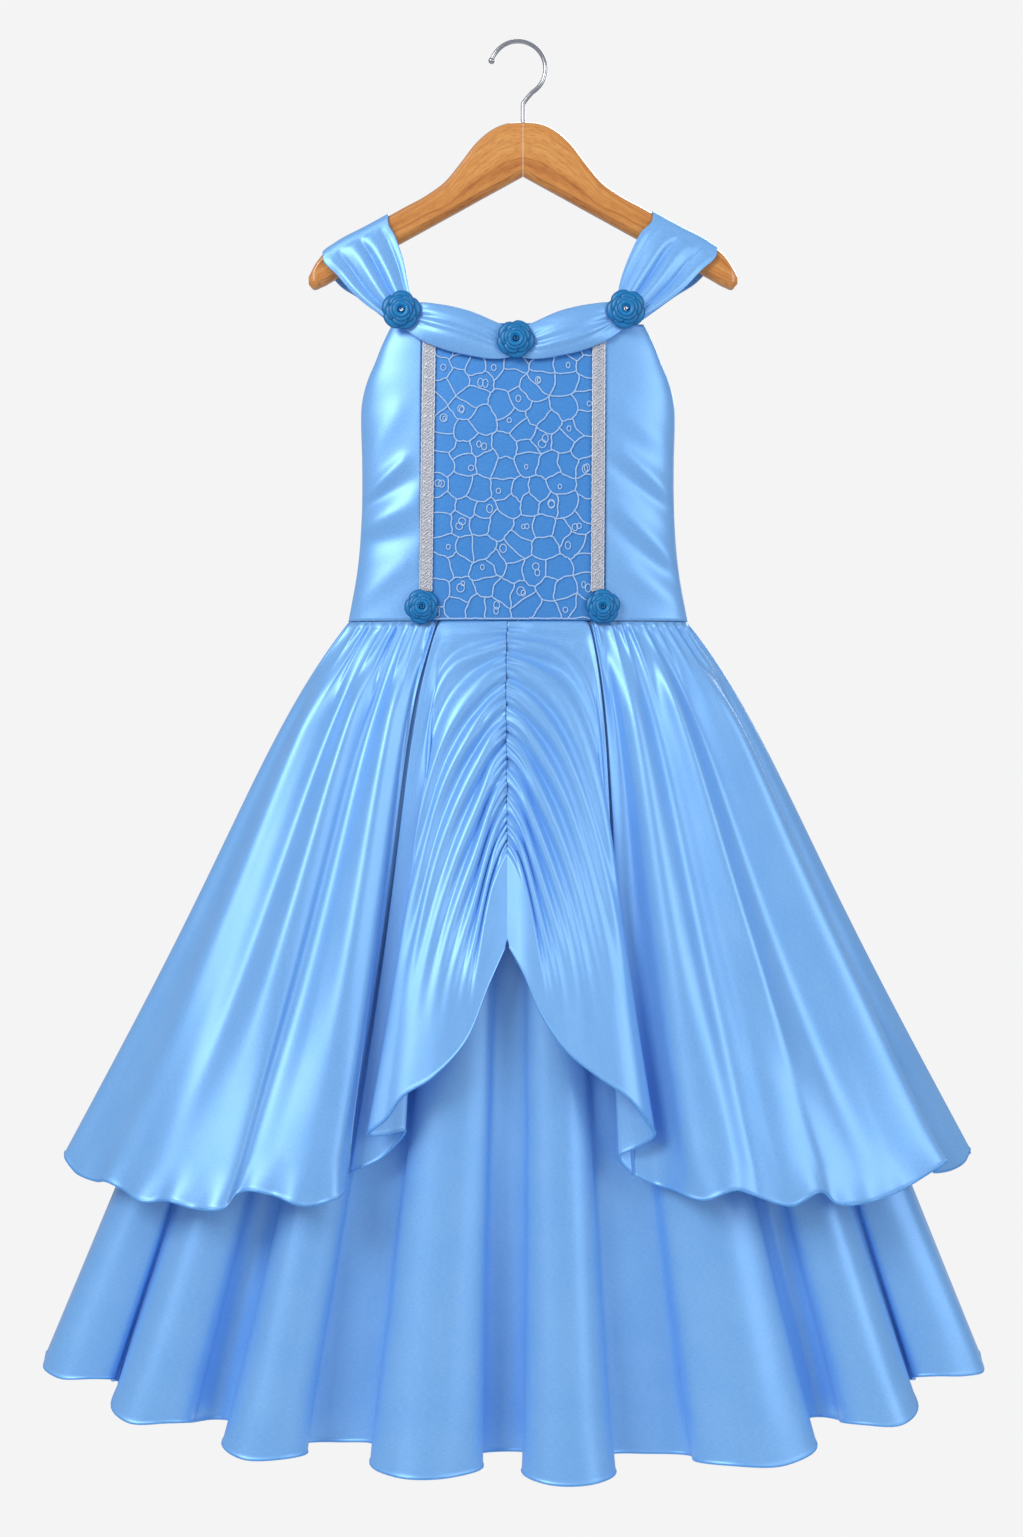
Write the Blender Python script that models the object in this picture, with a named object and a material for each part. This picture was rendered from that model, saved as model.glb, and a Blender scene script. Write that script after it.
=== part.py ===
"""A child's satin costume gown on a wooden hanger.

The gown has a fitted bodice with a lace centre panel, a pinched neckline drape that runs on over
the hanger as two straps, an overskirt ruched up its centre seam, and a long underskirt.
Metres, +Z up, the front of the gown faces -Y. The origin is where the hook bears on its support.
Sizes below are millimetres, and every mesh is scaled by MM when it is made.
"""

import math
from collections import namedtuple

import bmesh
import bpy
import numpy as np
from mathutils import Vector
from mathutils.geometry import delaunay_2d_cdt

MM = 0.001
SEAM_GAP = 0.3
SATIN = 1.6
HEM_ROLL = 2.4
CALM_REACH = 24

# Heights that tie the pieces together
WAIST_Z = -463.0
ARMHOLE_Z = -293.0
PANEL_TOP_Z = -227.0
CENTRE_SEAM_X = -8.4


# Shared helpers


def clear_scene():
    for item in list(bpy.data.objects):
        bpy.data.objects.remove(item)


def finish(name, colour, roughness, metallic=0.0):
    material = bpy.data.materials.new(name)
    material.use_nodes = True
    shader = material.node_tree.nodes["Principled BSDF"]
    shader.inputs["Base Color"].default_value = (*colour, 1.0)
    shader.inputs["Roughness"].default_value = roughness
    shader.inputs["Metallic"].default_value = metallic
    return material


def flowing(table, shares):
    """Points on a smooth curve through the rows of a table, at shares of its length.
    The first three columns are a place. A fourth flows along, and counts twice in the length."""
    rows = np.array(table, float)
    steps = np.diff(rows, axis=0)
    steps = np.linalg.norm(steps[:, :3], axis=1) + 2 * np.abs(steps[:, 3:]).sum(axis=1)
    knots = np.concatenate([[0.0], np.cumsum(steps)])
    slopes = np.gradient(rows, knots, axis=0)
    place = np.asarray(shares) * knots[-1]
    index = np.clip(np.searchsorted(knots, place, side="right") - 1, 0, len(rows) - 2)
    span = (knots[index + 1] - knots[index])[:, None]
    u = (place[:, None] - knots[index][:, None]) / span
    return (
        (2 * u**3 - 3 * u**2 + 1) * rows[index]
        + (u**3 - 2 * u**2 + u) * span * slopes[index]
        + (3 * u**2 - 2 * u**3) * rows[index + 1]
        + (u**3 - u**2) * span * slopes[index + 1]
    )


def calmed(table, shares):
    """The same curve with its folds averaged away and its ends kept."""
    places = np.linspace(0.0, 1.0, 201)
    fine = flowing(table, places)
    before = 2 * fine[0] - fine[CALM_REACH:0:-1]
    after = 2 * fine[-1] - fine[-2 : -2 - CALM_REACH : -1]
    weight = np.hanning(2 * CALM_REACH + 3)[1:-1]
    padded = np.concatenate([before, fine, after]).T
    mean = [np.convolve(part, weight / weight.sum(), mode="valid") for part in padded]
    return np.stack([np.interp(shares, places, part) for part in mean], axis=1)


def eased(value, table):
    """Value of a two-column table, rising or falling smoothly between its rows."""
    rows = np.array(table, float)
    rows = rows[np.argsort(rows[:, 0])]
    index = np.clip(np.searchsorted(rows[:, 0], value) - 1, 0, len(rows) - 2)
    slopes = np.gradient(rows[:, 1], rows[:, 0])
    span = rows[index + 1, 0] - rows[index, 0]
    u = np.clip((value - rows[index, 0]) / span, 0.0, 1.0)
    return (
        (2 * u**3 - 3 * u**2 + 1) * rows[index, 1]
        + (u**3 - 2 * u**2 + u) * span * slopes[index]
        + (3 * u**2 - 2 * u**3) * rows[index + 1, 1]
        + (u**3 - u**2) * span * slopes[index + 1]
    )


def add_object(name, points, faces, material):
    mesh = bpy.data.meshes.new(name)
    mesh.from_pydata([tuple(point) for point in np.asarray(points) * MM], [], faces)
    edit = bmesh.new()
    edit.from_mesh(mesh)
    bmesh.ops.recalc_face_normals(edit, faces=edit.faces)
    edit.to_mesh(mesh)
    edit.free()
    mesh.shade_smooth()
    mesh.set_sharp_from_angle(angle=math.radians(50))
    mesh.materials.append(material)
    node = bpy.data.objects.new(name, mesh)
    bpy.context.scene.collection.objects.link(node)
    return node


def outward(grid):
    """Unit normals of a grid of points."""
    across = np.gradient(grid, axis=1)
    down = np.gradient(grid, axis=0)
    normal = np.cross(across, down)
    return normal / np.maximum(np.linalg.norm(normal, axis=2, keepdims=True), 1e-9)


def kept_in_plane(normal, axis):
    """The same directions with their part along axis taken out, so that an edge is cut square."""
    axis = np.asarray(axis, float)
    flat = normal - (normal @ axis)[..., None] * axis
    return flat / np.linalg.norm(flat, axis=-1, keepdims=True)


def cloth(name, grid, material, thick=SATIN, hem=None, level=(), upright=()):
    """A wall of cloth about a grid of points, rows down and columns across.
    level names the rows, and upright the columns, whose edges are cut square to Z or to X or Y."""
    normal = outward(grid)
    for row in level:
        normal[row] = kept_in_plane(normal[row], (0, 0, 1))
    for column, axis in upright:
        normal[:, column] = kept_in_plane(normal[:, column], axis)
    rows, columns = grid.shape[:2]
    half = np.full((rows, 1, 1), thick / 2)
    if hem:
        half[-1] = hem / 2
    sides = np.concatenate([(grid + normal * half).reshape(-1, 3), (grid - normal * half).reshape(-1, 3)])
    count = rows * columns
    faces = []
    for r in range(rows - 1):
        for c in range(columns - 1):
            a, b = r * columns + c, (r + 1) * columns + c
            for triangle in ((a, b, b + 1), (a, b + 1, a + 1)):
                faces.append(triangle)
                faces.append(tuple(count + corner for corner in reversed(triangle)))
    border = [c for c in range(columns)]
    border += [r * columns + columns - 1 for r in range(1, rows)]
    border += [(rows - 1) * columns + c for c in range(columns - 2, -1, -1)]
    border += [r * columns for r in range(rows - 2, 0, -1)]
    for a, b in zip(border, border[1:] + border[:1]):
        faces.append((a, b, count + b, count + a))
    return add_object(name, sides, faces, material)


# Wooden hanger: two mitred arms

ARM_CENTRE_X = 4.0
ARM_HALF_THICK = 8.0
ARM_CROWN = 5.0
ARM_CHAMFER = 5.0
MITRE_GAP = 0.15
ArmSection = namedtuple("ArmSection", "out top bottom")
ARM_SECTIONS = [
    ArmSection(0.0, -63.2, -106.4),
    ArmSection(14.0, -64.5, -114.1),
    ArmSection(26.0, -70.0, -120.7),
    ArmSection(38.0, -80.5, -127.3),
    ArmSection(50.0, -96.0, -134.0),
    ArmSection(61.0, -109.5, -140.0),
    ArmSection(76.0, -121.0, -148.3),
    ArmSection(95.0, -131.5, -158.7),
    ArmSection(125.0, -148.0, -175.3),
    ArmSection(150.0, -161.5, -189.0),
    ArmSection(161.0, -170.0, -195.0),
    ArmSection(168.0, -180.5, -196.5),
    ArmSection(171.0, -187.0, -193.0),
]


def arm_section(section, side):
    """One ring round the arm: an oval crown on top and a chamfered foot."""
    grow = min(1.0, (section.top - section.bottom) / 20.0)
    half = ARM_HALF_THICK * (0.55 + 0.45 * grow)
    crown, chamfer = ARM_CROWN * grow, ARM_CHAMFER * grow
    x = ARM_CENTRE_X + side * (MITRE_GAP + section.out)
    ring = [
        (x, -half + chamfer, section.bottom),
        (x, -half, section.bottom + chamfer),
    ]
    for step in range(7):
        turn = math.pi * step / 6
        ring.append((x, -half * math.cos(turn), section.top - crown * (1 - math.sin(turn))))
    ring += [(x, half, section.bottom + chamfer), (x, half - chamfer, section.bottom)]
    return ring


def make_arm(name, side, material):
    rings = [arm_section(section, side) for section in ARM_SECTIONS]
    around = len(rings[0])
    faces = [tuple(range(around))]
    for r in range(len(rings) - 1):
        for c in range(around):
            a, b = r * around + c, r * around + (c + 1) % around
            faces.append((a, b, b + around, a + around))
    last = (len(rings) - 1) * around
    faces.append(tuple(last + c for c in range(around)))
    return add_object(name, np.concatenate(rings), faces, material)


# Steel hook: one bent wire with a bead at its tip

WIRE_RADIUS = 1.8
HOOK_RADIUS = 22.0
HOOK_TIP_ANGLE = 163
HOOK_NECK_ANGLE = -58
NECK_BEND_Z = -46.0
TIP_BEAD = 1.5


def hook_route():
    """Centreline from the wood up the stem and round the crown to the tip."""
    centre_z = WIRE_RADIUS - HOOK_RADIUS
    foot = ARM_SECTIONS[0].top + SEAM_GAP
    route = [(ARM_CENTRE_X, 0.0, z) for z in np.linspace(foot, NECK_BEND_Z - 1.5, 3)]
    route.append((ARM_CENTRE_X + 0.9, 0.0, NECK_BEND_Z + 1.6))
    for angle in np.linspace(HOOK_NECK_ANGLE, HOOK_TIP_ANGLE, 20):
        turn = math.radians(angle)
        route.append((HOOK_RADIUS * math.cos(turn), 0.0, centre_z + HOOK_RADIUS * math.sin(turn)))
    return route


def make_hook(name, material):
    route = hook_route()
    curve = bpy.data.curves.new(name, "CURVE")
    curve.dimensions = "3D"
    curve.bevel_depth = WIRE_RADIUS * MM
    curve.bevel_resolution = 2
    curve.use_fill_caps = True
    spline = curve.splines.new("POLY")
    spline.points.add(len(route) - 1)
    for point, place in zip(spline.points, route):
        point.co = (*(Vector(place) * MM), 1.0)
    for point in list(spline.points)[-2:]:
        point.radius = TIP_BEAD
    curve.materials.append(material)
    node = bpy.data.objects.new(name, curve)
    bpy.context.scene.collection.objects.link(node)
    return node


# Bodice: a flattened tube, open at the armholes and the neck

BodiceRing = namedtuple("BodiceRing", "height half_width front back gape")
BODICE_RINGS = [
    BodiceRing(-463.0, 135.0, 26.0, 20.0, 0.15),
    BodiceRing(-421.0, 127.6, 27.0, 20.0, 0.15),
    BodiceRing(-381.0, 124.4, 28.0, 19.0, 0.15),
    BodiceRing(-333.0, 124.0, 28.0, 18.0, 0.15),
    BodiceRing(-300.0, 124.8, 27.0, 17.0, 0.15),
    BodiceRing(-293.0, 124.6, 26.5, 16.5, 0.3),
    BodiceRing(-269.0, 119.6, 25.0, 16.0, 5.0),
    BodiceRing(-245.0, 110.4, 23.0, 15.0, 9.0),
    BodiceRing(-227.0, 100.0, 21.0, 14.0, 10.0),
]
SQUARENESS = 2.6
FRONT_SEAMS = (-76.6, 68.6)
BODICE_ROWS = 9


def bodice_size(height, column):
    return eased(height, [(ring.height, getattr(ring, column)) for ring in BODICE_RINGS])


def bodice_depth(x, z, column):
    """How far forward or back of the hanger's plane the bodice stands at a place."""
    width = bodice_size(z, "half_width")
    gape = bodice_size(z, "gape")
    reach = np.clip(np.abs(x) / width, 0.0, 1.0)
    return gape + (bodice_size(z, column) - gape) * (1 - reach**SQUARENESS) ** (1 / SQUARENESS)


def bodice_panel(start, end, column, columns, top=PANEL_TOP_Z):
    """Grid from one x to another. An end of None is the side edge, wherever the outline has it."""
    heights = np.linspace(top, WAIST_Z + SEAM_GAP / 2, BODICE_ROWS + 1)
    grid = []
    for z in heights:
        edge = float(bodice_size(z, "half_width"))
        stop = math.copysign(edge, start) if end is None else end
        share = np.linspace(0.0, 1.0, columns + 1)
        if end is None:
            share = np.sin(share * math.pi / 2)
        x = start + (stop - start) * share
        y = bodice_depth(x, z, column) * (-1 if column == "front" else 1)
        grid.append(np.stack([x, y, np.full_like(x, z)], axis=1))
    return np.array(grid)


def make_bodice(pale, deep):
    left_seam, right_seam = FRONT_SEAMS
    half = SEAM_GAP / 2
    centre = bodice_panel(left_seam + half, right_seam - half, "front", 6)
    ends = ((0, (1, 0, 0)), (-1, (1, 0, 0)))
    cloth("bodice_centre_front", centre, deep, level=(-1,), upright=ends)
    for name, start, column in (
        ("bodice_side_front_left", left_seam - half, "front"),
        ("bodice_side_front_right", right_seam + half, "front"),
        ("bodice_back_left", -half, "back"),
        ("bodice_back_right", half, "back"),
    ):
        count = 5 if column == "front" else 7
        grid = bodice_panel(start, None, column, count)
        cloth(name, grid, pale, level=(-1,), upright=((0, (1, 0, 0)), (-1, (0, 1, 0))))


# Corded lace over the centre front: a net of irregular cells, each gap cut through

LACE_THICK = 0.8
LACE_CORD = 1.4
LACE_PITCH = 16.6
LACE_JITTER = 0.36
LACE_SEED = 11
LACE_LEFT, LACE_RIGHT = -69.6, 62.4
LACE_TOP_Z = -236.0
SHORTEST_CORD = 3.2


def on_bodice_front(x, z, stand_off):
    """A point of the bodice's front moved out by stand_off from its middle surface."""
    return (x, -float(bodice_depth(x, z, "front")) - stand_off, z)


def lace_sites():
    """Cell centres on a jittered brick grid."""
    chance = np.random.RandomState(LACE_SEED)
    low = WAIST_Z + 1.0
    across = round((LACE_RIGHT - LACE_LEFT) / LACE_PITCH)
    down = round((LACE_TOP_Z - low) / LACE_PITCH)
    width, height = (LACE_RIGHT - LACE_LEFT) / across, (LACE_TOP_Z - low) / down
    sites = []
    for row in range(down):
        for column in range(across):
            shift_x, shift_z = chance.uniform(-LACE_JITTER, LACE_JITTER, 2)
            brick = 0.25 if row % 2 else -0.25
            x = LACE_LEFT + width * (column + 0.5 + shift_x + brick * 0.6)
            sites.append((x, low + height * (row + 0.5 + shift_z)))
    return sites


def lace_cells():
    """The corners of each cell: the meeting points of the cords between neighbouring sites.
    The sites are mirrored in the panel's four edges, so that the outer cells end on them."""
    sites = lace_sites()
    low = WAIST_Z + 1.0
    mirrored = [(2 * edge - x, z) for edge in (LACE_LEFT, LACE_RIGHT) for x, z in sites]
    mirrored += [(x, 2 * edge - z) for edge in (low, LACE_TOP_Z) for x, z in sites]
    points, _, triangles, *_ = delaunay_2d_cdt([Vector(p) for p in sites + mirrored], [], [], 0, 1e-6)
    around = [[] for _ in points]
    for triangle in triangles:
        a, b, c = (points[i] for i in triangle)
        twice = 2 * ((b - a).cross(c - a))
        if abs(twice) < 1e-9:
            continue
        ab, ac = b - a, c - a
        centre = a + Vector((ac.y * ab.length_squared - ab.y * ac.length_squared,
                             ab.x * ac.length_squared - ac.x * ab.length_squared)) / twice
        for corner in triangle:
            around[corner].append(centre)
    cells = []
    for site, corners in list(zip(points, around))[: len(sites)]:
        corners.sort(key=lambda corner: math.atan2(corner.y - site.y, corner.x - site.x))
        cells.append(corners)
    return cells


def make_lace(material):
    edit = bmesh.new()
    for corners in lace_cells():
        edit.faces.new([edit.verts.new((corner.x, corner.y, 0.0)) for corner in corners])
    bmesh.ops.remove_doubles(edit, verts=edit.verts, dist=SHORTEST_CORD)
    bmesh.ops.dissolve_degenerate(edit, edges=edit.edges, dist=0.01)
    cells = list(edit.faces)
    bmesh.ops.inset_individual(edit, faces=cells, thickness=LACE_CORD / 2, use_even_offset=True)
    bmesh.ops.delete(edit, geom=cells, context="FACES")
    stand_off = SATIN / 2 + SEAM_GAP + LACE_THICK / 2
    for vertex in edit.verts:
        vertex.co = Vector(on_bodice_front(vertex.co.x, vertex.co.y, stand_off)) * MM
    bmesh.ops.triangulate(edit, faces=edit.faces)
    mesh = bpy.data.meshes.new("lace_overlay")
    edit.to_mesh(mesh)
    edit.free()
    mesh.materials.append(material)
    node = bpy.data.objects.new("lace_overlay", mesh)
    bpy.context.scene.collection.objects.link(node)
    wall = node.modifiers.new("wall", "SOLIDIFY")
    wall.thickness = LACE_THICK * MM
    wall.offset = 0.0


# Silver braid over each side edge of the lace

BRAID_WIDTH = 10.4
BRAID_THICK = 1.0
BRAID_TOP_Z, BRAID_FOOT_Z = -238.0, -440.0
BRAIDS = {"braid_left": (-70.3, -73.0), "braid_right": (64.2, 62.8)}
BRAID_ROWS = 9


def make_braid(name, top_x, foot_x, material):
    stand_off = SATIN / 2 + SEAM_GAP + LACE_THICK + SEAM_GAP + BRAID_THICK / 2
    grid = []
    for share in np.linspace(0.0, 1.0, BRAID_ROWS + 1):
        z = BRAID_TOP_Z + (BRAID_FOOT_Z - BRAID_TOP_Z) * share
        middle = top_x + (foot_x - top_x) * share
        row = [on_bodice_front(middle + BRAID_WIDTH * side, z, stand_off) for side in (-0.5, 0.0, 0.5)]
        grid.append(row)
    cloth(name, np.array(grid), material, thick=BRAID_THICK)


# Neckline drape: one soft band, pinched in the middle and at the straps

DrapeStation = namedtuple("DrapeStation", "share top bottom puff")
PINCH_LEFT_X, PINCH_RIGHT_X, PINCH_MIDDLE_X = -90.0, 83.5, -2.0
FRONT_DRAPE = [
    DrapeStation(0.0, -233.0, -254.0, 0.0),
    DrapeStation(0.16, -227.5, -256.0, 2.5),
    DrapeStation(0.4, -218.5, -253.5, 6.0),
    DrapeStation(0.7, -212.5, -246.5, 5.5),
    DrapeStation(0.9, -211.0, -238.0, 1.4),
    DrapeStation(1.0, -212.5, -231.5, 0.5),
]
BACK_DRAPE = [
    DrapeStation(0.0, -231.0, -255.0, 2.0),
    DrapeStation(0.5, -229.0, -254.0, 3.0),
    DrapeStation(1.0, -224.0, -240.0, 0.5),
]
DRAPE_STAND_OFF = {"front": 4.4, "back": 2.0}
DRAPE_FOLDS = 2.5
FOLD_DEPTH = 1.6


def drape_grid(stations, left, middle, right, column, columns, rows):
    """Grid of the band. Its folds run along it and die out at the pinches."""
    facing = -1 if column == "front" else 1
    grid = []
    for down in np.linspace(0.0, 1.0, rows + 1):
        row = []
        for along in np.linspace(-1.0, 1.0, columns + 1):
            share = abs(along)
            end = left if along < 0 else right
            x = middle + (end - middle) * share
            top, bottom, puff = (
                float(eased(share, [(s.share, getattr(s, part)) for s in stations]))
                for part in ("top", "bottom", "puff")
            )
            z = top + (bottom - top) * down
            wall = float(bodice_depth(x, min(z, PANEL_TOP_Z), column))
            swell = puff * math.sin(math.pi * down) ** 0.7
            ripple = FOLD_DEPTH * min(1.0, puff / 4) * math.sin(2 * math.pi * DRAPE_FOLDS * down)
            out = wall + DRAPE_STAND_OFF[column] + swell + ripple * math.sin(math.pi * down)
            row.append((x, facing * out, z))
        grid.append(row)
    return np.array(grid)


def make_neckline(pale):
    front = drape_grid(FRONT_DRAPE, PINCH_LEFT_X, PINCH_MIDDLE_X, PINCH_RIGHT_X, "front", 24, 6)
    cloth("neck_drape_front", front, pale)
    back = drape_grid(BACK_DRAPE, -94.0, 0.0, 94.0, "back", 12, 4)
    cloth("neck_drape_back", back, pale)


# Straps: each runs from its pinch up over the hanger's arm and down to the back drape

StrapStation = namedtuple("StrapStation", "inner_x inner_z outer_x outer_z depth fold")
ARM_CLEAR = 1.6
STRAP_COLUMNS = 8
STRAP_FOLDS = 4
LEFT_STRAP_FRONT = [
    StrapStation(-85.0, -206.5, -104.0, -223.5, -23.8, 0.0),
    StrapStation(-87.5, -194.0, -116.0, -215.5, -20.5, 1.8),
    StrapStation(-91.0, -176.0, -130.0, -203.5, -16.5, 2.4),
    StrapStation(-97.5, -157.0, -143.0, -188.5, -12.5, 1.4),
]
LEFT_STRAP_BACK = [
    StrapStation(-97.0, -158.0, -143.0, -192.0, 12.5, 0.6),
    StrapStation(-93.0, -180.0, -130.0, -212.0, 15.5, 0.8),
    StrapStation(-90.0, -207.0, -108.0, -229.0, 18.5, 0.0),
]
RIGHT_STRAP_FRONT = [
    StrapStation(78.5, -206.5, 97.0, -222.5, -23.8, 0.0),
    StrapStation(81.0, -194.0, 111.0, -214.5, -20.5, 1.8),
    StrapStation(87.0, -176.0, 128.5, -201.5, -16.5, 2.4),
    StrapStation(97.5, -154.0, 145.0, -184.5, -12.5, 1.4),
]
RIGHT_STRAP_BACK = [
    StrapStation(97.0, -155.0, 145.0, -188.0, 12.5, 0.6),
    StrapStation(91.0, -180.0, 129.0, -210.0, 15.5, 0.8),
    StrapStation(86.0, -207.0, 104.0, -228.0, 18.5, 0.0),
]
STRAP_TOPS = {"strap_left": (-103.5, -155.5), "strap_right": (107.5, 158.5)}


def arm_top(x):
    """Height of the hanger's crown at a place along it."""
    return float(eased(abs(x - ARM_CENTRE_X), [(s.out, s.top) for s in ARM_SECTIONS]))


def over_arm(inner, outer):
    """Rows of strap points round the arm's crown, just clear of the wood."""
    rows = []
    reach = ARM_HALF_THICK + ARM_CLEAR
    for angle in (0, 40, 75, 105, 140, 180):
        turn = math.radians(angle)
        lift = (ARM_CROWN + ARM_CLEAR) * math.sin(turn) - ARM_CROWN
        across = np.linspace(inner, outer, STRAP_COLUMNS + 1)
        rows.append([(x, -reach * math.cos(turn), arm_top(x) + lift) for x in across])
    return rows


def strap_rows(stations):
    """Rows of strap points at each station, its folds swelling away from the arm."""
    rows = []
    for station in stations:
        share = np.linspace(0.0, 1.0, STRAP_COLUMNS + 1)
        x = station.inner_x + (station.outer_x - station.inner_x) * share
        z = station.inner_z + (station.outer_z - station.inner_z) * share
        fold = station.fold * np.abs(np.sin(math.pi * STRAP_FOLDS * share))
        rows.append(np.column_stack([x, station.depth + math.copysign(1.0, station.depth) * fold, z]))
    return rows


def make_strap(name, front, back, material):
    inner, outer = STRAP_TOPS[name]
    grid = np.array(strap_rows(front) + over_arm(inner, outer) + strap_rows(back))
    cloth(name, grid if inner < 0 else grid[:, ::-1], material)


# Roses: moulded satin roses that cover the pinches and the feet of the braids

Rose = namedtuple("Rose", "x z stand radius")
ROSES = {
    "rose_strap_left": Rose(-92.5, -217.5, 25.0, 15.0),
    "rose_neck_centre": Rose(-2.0, -241.0, 30.6, 14.5),
    "rose_strap_right": Rose(85.5, -216.5, 25.0, 15.0),
    "rose_waist_left": Rose(-76.0, -452.0, 26.7, 13.2),
    "rose_waist_right": Rose(67.0, -452.0, 27.3, 13.2),
}
ROSE_DEPTH = 9.0
ROSE_AROUND = 20
ROSE_PETALS = 5
PetalRing = namedtuple("PetalRing", "reach rise lobe turn")
PETAL_RINGS = [
    PetalRing(0.62, 0.00, 0.10, 0.0),
    PetalRing(1.00, 0.30, 0.16, 0.0),
    PetalRing(0.72, 0.58, 0.10, 0.0),
    PetalRing(0.68, 0.84, 0.14, 0.63),
    PetalRing(0.44, 0.60, 0.10, 0.63),
    PetalRing(0.36, 1.00, 0.12, 0.2),
    PetalRing(0.15, 0.66, 0.00, 0.2),
]


def make_rose(name, rose, material):
    points, faces = [], [tuple(reversed(range(ROSE_AROUND)))]
    for ring in PETAL_RINGS:
        for step in range(ROSE_AROUND):
            turn = 2 * math.pi * step / ROSE_AROUND
            notch = 1 - abs(math.cos(ROSE_PETALS * (turn + ring.turn) / 2))
            reach = rose.radius * ring.reach * (1 - ring.lobe * notch**2)
            y = -rose.stand - ROSE_DEPTH * ring.rise
            points.append((rose.x + reach * math.cos(turn), y, rose.z + reach * math.sin(turn)))
    for r in range(len(PETAL_RINGS) - 1):
        for c in range(ROSE_AROUND):
            a, b = r * ROSE_AROUND + c, r * ROSE_AROUND + (c + 1) % ROSE_AROUND
            faces.append((a, b, b + ROSE_AROUND, a + ROSE_AROUND))
    last = (len(PETAL_RINGS) - 1) * ROSE_AROUND
    faces.append(tuple(last + c for c in range(ROSE_AROUND)))
    return add_object(name, points, faces, material)


# Skirts: straight-grained folds that run from the waist ring out to a shaped hem

UNDER_INSET = 2.8
WAIST_SPRING = 9.0
FOLD_GROWTH = 1.8
GATHER_DEPTH = 5.0


def waist_line(share, inset, column):
    """Points of the waist seam: share -1 is the left side seam, 0 the centre and 1 the right."""
    ring = BODICE_RINGS[0]
    turn = np.radians(np.linspace(-90.0, 90.0, 361))
    x = np.sign(np.sin(turn)) * np.abs(np.sin(turn)) ** (2 / SQUARENESS) * (ring.half_width - inset)
    y = np.abs(np.cos(turn)) ** (2 / SQUARENESS) * (getattr(ring, column) - inset)
    if column == "front":
        y = -y
    length = np.concatenate([[0.0], np.cumsum(np.hypot(np.diff(x), np.diff(y)))])
    middle = np.interp(0.0, x, length)
    place = np.where(np.asarray(share) < 0, middle * (1 + share), middle + (length[-1] - middle) * share)
    return np.stack([np.interp(place, length, x), np.interp(place, length, y)], axis=-1)


def spring(down):
    """How a gathered skirt stands off below its seam: 0 at the seam, most a fifth of the way down."""
    return down * (1 - down) ** 4 / 0.08192


def hung(waist, calm, hem, down, stand=0.0, growth=FOLD_GROWTH):
    """Points a share of the way down from the waist to the hem, moved out by stand.
    The folds of the hem grow from nothing at the waist, faster than the skirt widens."""
    out = waist * np.array([1 / 3, 1.0])
    out = out / np.maximum(np.linalg.norm(out, axis=1, keepdims=True), 1e-9)
    down = np.broadcast_to(down, len(waist))[:, None]
    plan = waist + (calm[:, :2] - waist) * down + (hem - calm)[:, :2] * down**growth
    plan = plan + out * (spring(down) * WAIST_SPRING + np.reshape(stand, (-1, 1)))
    top = WAIST_Z - 1.5 * SEAM_GAP
    height = top + (calm[:, 2:3] - top) * down + (hem - calm)[:, 2:3] * down**growth
    return np.hstack([plan, height])


def gather_ripple(count, waist):
    """Forward swell along a gathered edge, from 0 to 1, some gathers fuller than others."""
    length = np.concatenate([[0.0], np.cumsum(np.linalg.norm(np.diff(waist, axis=0), axis=1))])
    phase = length / length[-1]
    fuller = 0.8 + 0.2 * np.cos(2 * math.pi * count * phase * 0.382 + 1.0)
    fuller *= np.clip(length / 9.0, 0.0, 1.0)
    return (0.5 - 0.5 * np.cos(2 * math.pi * count * phase)) * fuller


def skirt_grid(waist, route, columns, downs, gathers=0):
    """Rows of a gathered skirt, from its waist seam down to its hem."""
    calm, hem = calmed(route, columns), flowing(route, columns)
    ripple = gather_ripple(gathers, waist) * GATHER_DEPTH
    return np.array([
        hung(waist, calm, hem, down, ripple * min(1.0, down / 0.025) * (1 - down) ** 3)
        for down in downs
    ])


# Underskirt

Fold = namedtuple("Fold", "left right crest low roll_left roll_right valley valley_low")
UNDER_FOLDS = [
    Fold(-376.0, -318.0, 42.0, -1062.0, 0.0, 2.0, 24.0, -1064.0),
    Fold(-318.0, -255.0, 75.0, -1085.0, 2.0, 0.0, 36.0, -1087.0),
    Fold(-230.0, -164.0, 90.0, -1108.0, 6.0, 6.0, 45.0, -1101.0),
    Fold(-117.0, -26.0, 98.0, -1120.0, 7.0, 7.0, 46.0, -1110.0),
    Fold(3.0, 76.0, 100.0, -1125.0, 7.0, 7.0, 46.0, -1113.0),
    Fold(135.0, 233.0, 90.0, -1115.0, 0.0, 7.0, 36.0, -1090.0),
    Fold(253.0, 313.0, 75.0, -1087.0, 0.0, 4.0, 24.0, -1063.0),
    Fold(311.0, 367.0, 42.0, -1060.0, 2.0, 0.0, 22.0, -1055.0),
]
UNDER_SIDE_Z = -1051.0
UNDER_SIDE_X = (-377.0, 369.0)
UNDER_BACK_WAVES = 7


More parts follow.
